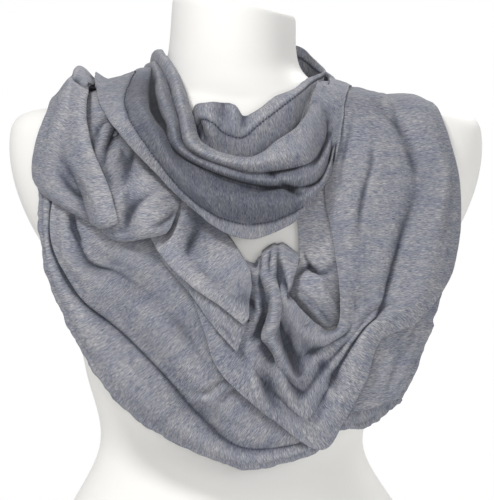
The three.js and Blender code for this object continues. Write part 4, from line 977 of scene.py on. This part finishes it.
class Stretch:
    """A stretch of cloth with its fine detail: a grid of middle points, and what each point needs"""

    def __init__(self, name, grid, hem, wave, fold_edge):
        self.name, self.closed = name, name == "neck_wrap"
        along_mm, self.v = lengths(grid, self.closed)
        self.u = np.broadcast_to(along_mm[: grid.shape[1]], self.v.shape)
        self.around = along_mm[-1] if self.closed else None
        along, self.across = headings(grid, self.closed)
        self.normal = unit(np.cross(along, self.across))
        self.grid = self.beside_neck(grid) if name.startswith("neck") else grid
        body_middle = np.array([0, 0, 400.0])
        if (self.normal * (self.grid - body_middle)).sum() < 0:
            self.normal = -self.normal
        self.x, self.y, self.z = self.grid[..., 0], self.grid[..., 1], self.grid[..., 2]
        self.shown = self.hem_shown(self.x, self.y)
        self.thick = THIN + FOLD_EDGE * bell(self.v, 3.5) if fold_edge else np.full(self.v.shape, THIN)
        creases, crease_shade = self.hand_creases()
        lift = self.crumples() + creases + self.valleys()
        sewn = hem == "stitch line"
        if hem:
            self.seam = self.v[FINE] if sewn else np.full(grid.shape[1], hem)
            lift = lift + self.hem_lift(wave)
            scallops = self.scallops(wave, sewn)
            self.grid = self.grid + self.across * scallops[..., None]
        self.grid = self.grid + self.normal * lift[..., None]
        # Painted shade in the hollows, painted highlight on the ridges, and painted patches of shade and
        # light
        self.tone = self.paint_fold_shading()
        # Painted shade in the hollow creases
        self.tone *= 1 - np.minimum(CREASE_PAINTED_SHADE.get(name, 0) * crease_shade, CREASE_SHADE_LIMIT)
        # Painted shadow along the groove of a sewn seam
        if sewn:
            self.tone *= 1 - SEAM_PAINTED_SHADOW * self.shown * bell(self.v - self.seam, 1.6)

    def noise(self, step_u, step_v, number, level=False):
        """Smooth noise over the stretch. Level noise is the same all the way across it."""
        seed = sum(ord(letter) for letter in self.name) + number
        return soft_noise(self.u, 0 * self.v if level else self.v, step_u, step_v, seed, self.around)

    def beside_neck(self, grid):
        """Lifts the cloth beside the neck, on the right of its back"""
        rise = 8 * bell(grid[..., 0] - 50, 18) * np.clip((grid[..., 1] + 5) / 25, 0, 1)
        if self.name == "neck_wrap":
            rise = rise * np.clip((np.arange(len(grid)) / FINE - 3) / 3, 0, 1)[:, None]
        return grid + rise[..., None] * [0, 0, 1]

    def hem_shown(self, x, y):
        """0 where the hem of the wrap is turned under, on the right of the front, and 1 elsewhere"""
        if self.name != "neck_wrap":
            return np.ones(x.shape)
        return 1 - np.clip((x - 44) / 12, 0, 1) * np.clip((50 - y) / 20, 0, 1)

    def crumples(self):
        """Fine unevenness all over, and broader swells down the back"""
        lift = sum(height * self.noise(*size, k) for k, (*size, height) in enumerate(CRUMPLES))
        if self.name == "back_and_right":
            lift += 1.3 * self.noise(46, 17, 11) * np.clip(self.y / 40, 0, 1)
        return lift

    def hand_creases(self):
        """Height of the listed creases, and how much shade is painted into the hollow ones"""
        lift, crease_shade = np.zeros(self.x.shape), np.zeros(self.x.shape)
        front, back = self.y < 0, self.y > 0
        for depth, width, points in CREASES.get(self.name, []):
            lift -= CREASE * depth * crease_height(self.x, self.z, points, width) * front
            crease_shade += max(depth, 0) * crease_height(self.x, self.z, points, width * 0.6) * front
        if self.name == "back_and_right":
            for depth, width, points in BACK_CREASES:
                lift -= CREASE * depth * crease_height(self.x, self.z, points, width) * back
        return lift, crease_shade

    def valleys(self):
        """Cloth that falls in beside a fold and stands up in a lip"""
        lift = np.zeros(self.x.shape)
        column = np.arange(self.grid.shape[1]) / ALONG
        for fold, depth, lip, first, last in VALLEYS.get(self.name, []):
            row = row_of(self.name, fold)
            d = self.v - self.v[row]
            ends = np.clip(column - first, 0, 1) * np.clip(last - column, 0, 1)
            uneven = ends * (1 + 0.45 * self.noise(38, 10, 9 + row, level=True))
            lift += uneven * (lip * bell(d - 3.6, 2.8) - depth * bell(d, 1.9))
        return lift

    def hem_lift(self, wave):
        """Waves and puckers of a hem, and its seam. The hem is thicker than the rest."""
        d = self.v
        self.thick = self.thick + HEM_EDGE * self.shown / (1 + np.exp((d - self.seam) / 0.7))
        waves = np.exp(-d / 12) * (0.5 * self.noise(8, 30, 3) + wave * self.noise(19, 60, 4))
        pucker = 0.6 * self.noise(STITCH, 5, 5) + 0.5 * self.noise(9, 9, 6)
        sewn = pucker * bell(d - self.seam, PUCKER_WIDTH) - SEAM_DEPTH * bell(d - self.seam, SEAM_WIDTH)
        return waves + sewn * self.shown - 1.3 * (1 - self.shown) * np.exp(-d / 5)

    def scallops(self, wave, sewn):
        """How far the edge of a hem goes in and out, with small stitches where it is overlocked"""
        scallops = 0.6 * wave * np.exp(-self.v / 4) * self.noise(7, 60, 7, level=True)
        if not sewn:
            scallops += 0.9 * np.exp(-self.v / 3) * self.noise(3.2, 60, 8, level=True)
        return scallops

    def paint_fold_shading(self):
        """Painted shading: shade painted in the hollows of the folds, a painted highlight on their ridges,
        and painted bands and patches on the front
        """
        grid, name = self.grid, self.name
        total = np.zeros(grid.shape[:2])
        for reach, weight in HOLLOWS:
            total += weight * hollow(grid, self.normal, reach, 0)
            total += 0.5 * weight * hollow(grid, self.normal, round(reach * ALONG / FINE), 1, self.closed)
        # Painted shade in the hollows and painted highlight on the ridges
        hollow_shade, ridge_highlight = SHADE.get(name, HOLLOW_PAINTED_SHADE) * np.clip(total * 1.1, 0, 1), np.clip(-total * 0.8, 0, 1)
        tone = 1 - hollow_shade + RIDGE_PAINTED_HIGHLIGHT * ridge_highlight
        x, y, z = grid[..., 0], grid[..., 1], grid[..., 2]
        front = np.clip((-25 - y) / 40, 0, 1) * (0.3 + 0.7 * self.hem_shown(x, y))
        rows = np.arange(len(grid))
        # Painted shade in bands between folds, and a paler hem
        for first, last, band in PAINTED_SHADE_BANDS.get(name, []):
            start, end = row_of(name, first), row_of(name, last)
            share = np.clip((rows - start) / 2, 0, 1) * np.clip((end - rows) / 3, 0, 1)
            tone *= 1 - (1 - band) * share[:, None] * front
        # Painted patches of shade, and of light where the cloth lies in shadow
        for middle_x, middle_z, half_x, half_z, patch in PAINTED_SHADING_PATCHES.get(name, []):
            d = ((x - middle_x) / half_x) ** 2 + ((z - middle_z) / half_z) ** 2
            tone *= 1 - (1 - patch) * np.exp(-d) * (y < 0)
        return tone


def add_piece(name, points, faces, look, flat=0):
    """A mesh from points in mm, smooth apart from its first few faces"""
    mesh = bpy.data.meshes.new(name)
    mesh.from_pydata((np.array(points) / 1000).tolist(), [], faces)
    mesh.polygons.foreach_set("use_smooth", [k >= flat for k in range(len(faces))])
    mesh.materials.append(look)
    piece = bpy.data.objects.new(name, mesh)
    bpy.context.scene.collection.objects.link(piece)
    return piece


def shell_faces(rows, count, closed):
    """Faces of a thin shell: its outside, its inside, and the walls along its edges"""
    n = rows * count
    spans = count if closed else count - 1
    i, j = np.meshgrid(np.arange(rows - 1), np.arange(spans), indexing="ij")
    i, j = i.ravel() * count, j.ravel()
    k = (j + 1) % count
    a, b, c, d = i + j, i + k, i + count + k, i + count + j
    faces = [np.stack([a, b, c, d], 1), np.stack([a + n, d + n, c + n, b + n], 1)]
    j = np.arange(spans)
    k = (j + 1) % count
    last = n - count
    faces.append(np.stack([j + n, k + n, k, j], 1))
    faces.append(np.stack([last + j, last + k, last + k + n, last + j + n], 1))
    if not closed:
        i = np.arange(rows - 1) * count
        faces.append(np.stack([i, i + count, i + count + n, i + n], 1))
        i = i + count - 1
        faces.append(np.stack([i + n, i + count + n, i + count, i], 1))
    return np.concatenate(faces)


def facing_out(points, faces):
    """The faces, turned round where they enclose a volume below zero"""
    corners = points[faces]
    volume = 0
    for k in (1, 2):
        volume += (corners[:, 0] * np.cross(corners[:, k], corners[:, k + 1])).sum()
    return faces[:, ::-1] if volume < 0 else faces


def shell(stretch, look):
    """Closed thin shell of the cloth, with its lengths as UV and its painted shading at each point"""
    half = stretch.normal * (stretch.thick / 2)[..., None]
    sides = (stretch.grid + half, stretch.grid - half)
    points = np.concatenate([side.reshape(-1, 3) for side in sides])
    faces = facing_out(points, shell_faces(*stretch.u.shape, stretch.closed))
    piece = add_piece("cloth_" + stretch.name, points, faces.tolist(), look)
    u, v = np.tile(stretch.u.ravel(), 2)[faces], np.tile(stretch.v.ravel(), 2)[faces]
    if stretch.closed:
        width = 2 * stretch.u[0, -1] - stretch.u[0, -2]
        wraps = u.max(axis=1) - u.min(axis=1) > width / 2
        u[wraps] = np.where(u[wraps] < width / 2, u[wraps] + width, u[wraps])
    uv = piece.data.uv_layers.new(name="lengths")
    uv.data.foreach_set("uv", np.stack([u.ravel(), v.ravel()], 1).ravel() / 100)
    # The painted shade and highlight go to the shader as a point attribute
    painted_fold_shading = piece.data.attributes.new("painted_fold_shading", "FLOAT", "POINT")
    painted_fold_shading.data.foreach_set("value", np.tile(stretch.tone.ravel(), 2))
    piece.data.update()
    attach(piece, "root")
    return piece


def thread_line(stretch):
    """The line of a hem's thread, and how far the surface stands off it"""
    line, off = [], []
    for j in range(stretch.u.shape[1]):
        d, want = stretch.v[:, j], stretch.seam[j]
        i = min(max(int(np.searchsorted(d, want)), 1), len(d) - 1)
        t = np.clip((want - d[i - 1]) / max(d[i] - d[i - 1], 1e-9), 0, 1)
        line.append(stretch.grid[i - 1, j] * (1 - t) + stretch.grid[i, j] * t)
        off.append(stretch.normal[i, j] * (stretch.thick[i, j] / 2 + 0.1))
    if stretch.closed:
        line.append(line[0])
        off.append(off[0])
    return np.array(line), np.array(off)


def add_stitch(points, faces, start, end, up, slant):
    """One stitch on one side of the cloth: a slim body of three square rings, a little askew"""
    base = len(points)
    lift = up / max(np.linalg.norm(up), 1e-9)
    broad = np.cross((end - start) / max(np.linalg.norm(end - start), 1e-9), lift)
    for t, size in ((0, 0.4), (0.5, 0.85), (1, 0.4)):
        askew, bulge = slant * (2 * t - 1), 0.12 * (1 - abs(2 * t - 1))
        middle = start + (end - start) * t + broad * askew + lift * bulge
        for angle in (45, 135, 225, 315):
            c, s = math.cos(math.radians(angle)), math.sin(math.radians(angle))
            points.append(middle + broad * size * c + lift * size * 0.7 * s)
    for ring in (base, base + 4):
        for k in range(4):
            m = (k + 1) % 4
            faces.append((ring + k, ring + m, ring + 4 + m, ring + 4 + k))
    faces.append((base + 3, base + 2, base + 1, base))
    faces.append((base + 8, base + 9, base + 10, base + 11))


def stitches(stretch, look):
    """Small stitches sunk in the hem's line of thread, on both sides of the cloth"""
    line, off = thread_line(stretch)
    run = np.concatenate([[0], np.cumsum(np.linalg.norm(line[1:] - line[:-1], axis=1))])

    def along(values, at):
        return np.array([np.interp(at, run, values[:, k]) for k in range(3)])

    points, faces = [], []
    at, slant = STITCH, -STITCH_SLANT
    while at < run[-1] - STITCH:
        start, end = along(line, at - 0.33 * STITCH), along(line, at + 0.33 * STITCH)
        if stretch.hem_shown(start[:1], start[1:2])[0] < 0.5:
            at += STITCH
            continue
        up = along(off, at)
        for side in (up, -up):
            add_stitch(points, faces, start + side, end + side, side, slant)
        slant = -slant
        at += STITCH * (1 + 0.06 * math.sin(at * 1.7))
    piece = add_piece(stretch.name + "_stitches", points, faces, look)
    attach(piece, "root")
    return piece


def new_look(name):
    """A new material, with its node tree and its shader"""
    look = bpy.data.materials.new(name)
    look.use_nodes = True
    return look, look.node_tree, look.node_tree.nodes["Principled BSDF"]


def fill(tree, node, sockets):
    """Sets sockets of a node: an output is linked to it, and a constant is set on it"""
    for name, value in sockets.items():
        if isinstance(value, bpy.types.NodeSocket):
            tree.links.new(value, node.inputs[name])
        else:
            node.inputs[name].default_value = value


def add_node(tree, kind, sockets, **settings):
    """Adds a node, and gives its outputs"""
    node = tree.nodes.new(kind)
    for name, value in settings.items():
        setattr(node, name, value)
    fill(tree, node, sockets)
    return node.outputs


def ramp(tree, value, stops):
    """Colours by position from low to high"""
    node = tree.nodes.new("ShaderNodeValToRGB")
    for element, (position, colour) in zip(node.color_ramp.elements, (stops[0], stops[-1])):
        element.position = position
        element.color = (*colour, 1)
    for position, colour in stops[1:-1]:
        node.color_ramp.elements.new(position).color = (*colour, 1)
    tree.links.new(value, node.inputs["Fac"])
    return node.outputs["Color"]


def object_noise(tree, sockets):
    """Noise in the object's own space"""
    place = add_node(tree, "ShaderNodeTexCoord", {})["Object"]
    return add_node(tree, "ShaderNodeTexNoise", {"Vector": place, **sockets})["Fac"]


def jersey_look():
    """Heathered knit: pale and dark fibres in short streaks across the strand, over a fine knit bump,
    darkened by painted fold shade and lightened by painted highlights
    """
    look, tree, shader = new_look("heathered_jersey")
    uv = add_node(tree, "ShaderNodeUVMap", {}, uv_map="lengths")["UV"]

    def streaks(along, across, detail, shift):
        """Noise with so many waves in 100 mm along the strand and across it"""
        place = {"Vector": uv, "Scale": (along, across, 1), "Location": (shift, shift * 2.7, shift * 0.3)}
        vector = add_node(tree, "ShaderNodeMapping", place)["Vector"]
        sockets = {"Vector": vector, "Scale": 1, "Detail": detail, "Roughness": 0.55}
        return add_node(tree, "ShaderNodeTexNoise", sockets)["Fac"]

    def blend(kind, factor, first, second):
        """Mixes two colours. The sockets for colours share their names with others, so they go by number."""
        at_factor, at_first, at_second, result = 0, 6, 7, 2
        sockets = {at_factor: factor, at_first: first, at_second: second}
        return add_node(tree, "ShaderNodeMix", sockets, data_type="RGBA", blend_type=kind)[result]

    fine = ramp(tree, streaks(300, 34, 2, 3.1), [
        (0.38, (0.06, 0.065, 0.09)), (0.5, (0.21, 0.215, 0.24)), (0.62, (0.46, 0.46, 0.47)),
    ])
    middle = ramp(tree, streaks(215, 20, 3, 9.9), [
        (0.36, (0.06, 0.07, 0.11)), (0.5, (0.205, 0.215, 0.25)), (0.63, (0.50, 0.49, 0.49)),
    ])
    long = ramp(tree, streaks(85, 7, 3, 7.7), [
        (0.36, (0.10, 0.12, 0.18)), (0.5, (0.215, 0.22, 0.255)), (0.64, (0.36, 0.35, 0.35)),
    ])
    broad = ramp(tree, streaks(9, 4, 4, 1.3), [(0.32, (0.80, 0.82, 0.88)), (0.66, (1.05, 1.04, 1.01))])
    colour = blend("MIX", 0.3, blend("MIX", 0.55, fine, middle), long)
    colour = blend("MULTIPLY", 1.0, colour, broad)
    # Painted shade and highlight from the fold shading attribute, bluer where darker
    tone = add_node(tree, "ShaderNodeAttribute", {}, attribute_name="painted_fold_shading")["Fac"]
    share = add_node(tree, "ShaderNodeMath", {0: tone, 1: 0.75}, operation="MULTIPLY")["Value"]
    painted_shade_tint = ramp(tree, share, [
        (0.0, (0.0, 0.0, 0.0)), (0.35, (0.315, 0.325, 0.365)),
        (0.75, (0.775, 0.775, 0.785)), (1.0, (1.05, 1.03, 1.0)),
    ])
    painted_shade_colour = blend("MULTIPLY", 1.0, colour, painted_shade_tint)
    stronger = add_node(tree, "ShaderNodeVectorMath", {0: painted_shade_colour, "Scale": 1.22}, operation="SCALE")
    knit = {"Strength": 0.35, "Distance": 0.0005, "Height": streaks(180, 60, 2, 5.5)}
    fill(tree, shader, {
        "Base Color": stronger["Vector"],
        "Normal": add_node(tree, "ShaderNodeBump", knit)["Normal"],
        "Roughness": 0.88, "Specular IOR Level": 0.25, "Sheen Weight": 0.12, "Sheen Roughness": 0.45,
    })
    return look


def thread_look():
    """Dull dark thread of the hems"""
    look, tree, shader = new_look("hem_thread")
    noise = object_noise(tree, {"Scale": 900})
    colour = ramp(tree, noise, [(0, (0.018, 0.02, 0.034)), (1, (0.06, 0.066, 0.095))])
    fill(tree, shader, {"Base Color": colour, "Roughness": 0.7})
    return look


def form_look():
    """Smooth off-white satin plastic with the faintest unevenness"""
    look, tree, shader = new_look("form_satin")
    clouds = object_noise(tree, {"Scale": 9, "Detail": 3})
    grain = {"Strength": 0.04, "Distance": 0.0004, "Height": object_noise(tree, {"Scale": 260})}
    fill(tree, shader, {
        "Base Color": ramp(tree, clouds, [(0.3, (0.795, 0.785, 0.76)), (0.7, (0.825, 0.815, 0.79))]),
        "Normal": add_node(tree, "ShaderNodeBump", grain)["Normal"],
        "Roughness": 0.55, "Specular IOR Level": 0.4,
    })
    return look


def floor_look():
    """Pale paper under the form"""
    look, tree, shader = new_look("floor_paper")
    colour = ramp(tree, object_noise(tree, {"Scale": 40}), [(0, (0.86, 0.86, 0.86)), (1, (0.9, 0.9, 0.9))])
    fill(tree, shader, {"Base Color": colour, "Roughness": 0.9})
    return look


def build_cloth():
    """Each stretch as a thin shell, and the stitches of the two that are hemmed at the neck"""
    jersey, thread = jersey_look(), thread_look()
    for name, nodes, hem, wave, fold_edge, flat in STRETCHES:
        stretch = Stretch(name, grids[name], hem, wave, fold_edge)
        cloth = shell(stretch, jersey)
        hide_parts(*nodes)
        extra = [stitches(stretch, thread)] if hem == "stitch line" else []


def form_rings(around):
    """Rings of the dress form from its base to the rounded rim of its slanted neck"""
    low, shoulder, top = 0, 430, 534  # rings are 6 mm apart up to the shoulder, and 2 mm apart above it
    angle = 2 * np.pi * np.arange(around) / around
    cos, sin = np.cos(angle), np.sin(angle)
    rings = []
    for z in [*range(low, shoulder, 6), *range(shoulder, top, 2), top]:
        power, middle = 2 / between(FORM_LEVELS, "square", z), between(FORM_LEVELS, "middle", z)
        across = np.sign(cos) * np.abs(cos) ** power * between(FORM_LEVELS, "half", z)
        y = np.sign(sin) * np.abs(sin) ** power * depth_at(FORM_LEVELS, z, sin < 0)
        slant = np.clip((z - 500) / 34, 0, 1) * (8 - 0.15 * (across + 5))
        rings.append(np.stack([middle + across, y, z + slant], 1))
    rim, neck_middle = rings[-1], np.array([-5.0, -7.0])
    rounding = ((0.99, 1.6), (0.975, 3.0), (0.95, 4.2), (0.92, 5.0), (0.85, 5.3), (0.55, 5.4), (0.02, 5.4))
    for shrink, rise in rounding:
        rings.append(np.column_stack([neck_middle + (rim[:, :2] - neck_middle) * shrink, rim[:, 2] + rise]))
    base = rings[0]
    return [base * [shrink, shrink, 1] for shrink in (0.02, 0.5)] + rings


def build_form():
    """The dress form, finer than its solid, with a flat base"""
    around = 160
    rings = form_rings(around)
    faces = []
    for start in range(0, (len(rings) - 1) * around, around):
        for k in range(around):
            m = (k + 1) % around
            faces.append((start + k, start + m, start + around + m, start + around + k))
    faces.append(tuple(range(around - 1, -1, -1)))
    last = (len(rings) - 1) * around
    faces.append(tuple(range(last, last + around)))
    piece = add_piece("form_body", np.concatenate(rings), faces, form_look(), flat=2 * around)
    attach(piece, "root")
    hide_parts("dress_form")


def build_floor():
    """A pale round floor"""
    sides, radii = 96, (600, 1500)
    turns = [2 * math.pi * k / sides for k in range(sides)]
    points = [(radius * math.cos(turn), radius * math.sin(turn), 0) for radius in radii for turn in turns]
    faces = [tuple(range(sides))]
    for k in range(sides):
        m = (k + 1) % sides
        faces.append((k, sides + k, sides + m, m))
    floor = add_piece("floor", points, faces, floor_look(), flat=len(faces))


def light(name, place, size, power):
    """A soft round light that looks at the chest"""
    chest = Vector((0, 0, 0.36))
    lamp = bpy.data.lights.new(name, "AREA")
    lamp.shape = "DISK"
    lamp.size = size
    lamp.energy = power
    piece = bpy.data.objects.new(name, lamp)
    piece.location = place
    piece.rotation_euler = (chest - Vector(place)).to_track_quat("-Z", "Y").to_euler()
    bpy.context.scene.collection.objects.link(piece)


def build_world():
    """White to the camera, dimmer as a source of light"""
    world = bpy.data.worlds.new("studio")
    world.use_nodes = True
    tree = world.node_tree
    seen = add_node(tree, "ShaderNodeLightPath", {})["Is Camera Ray"]
    shade = add_node(tree, "ShaderNodeMapRange", {"Value": seen, "To Min": 0.45, "To Max": 1.0})
    fill(tree, tree.nodes["Background"], {"Color": (1, 1, 1, 1), "Strength": shade["Result"]})
    bpy.context.scene.world = world
    bpy.context.scene.view_settings.view_transform = "Standard"


def build_camera():
    """Looks straight at the form. At its middle the longer side of the picture is 0.42 m."""
    distance, longer_side, film = 3.0, 0.42, 36
    lens = bpy.data.cameras.new("camera")
    lens.sensor_width = film
    lens.lens = film * distance / longer_side
    lens.clip_end = 60
    camera = bpy.data.objects.new("camera", lens)
    camera.location = (0.00504, -distance, 0.341)
    camera.rotation_euler = (math.pi / 2, 0, 0)
    bpy.context.scene.collection.objects.link(camera)
    bpy.context.scene.camera = camera


build_cloth()
build_form()
build_floor()
light("key", (-1.0, -1.3, 2.4), 0.6, 42)
light("fill", (1.4, -2.5, 0.7), 1.0, 10)
light("front", (0.1, -3.2, 0.2), 0.9, 22)
light("back", (1.2, 1.6, 1.9), 1.0, 30)
build_world()
build_camera()
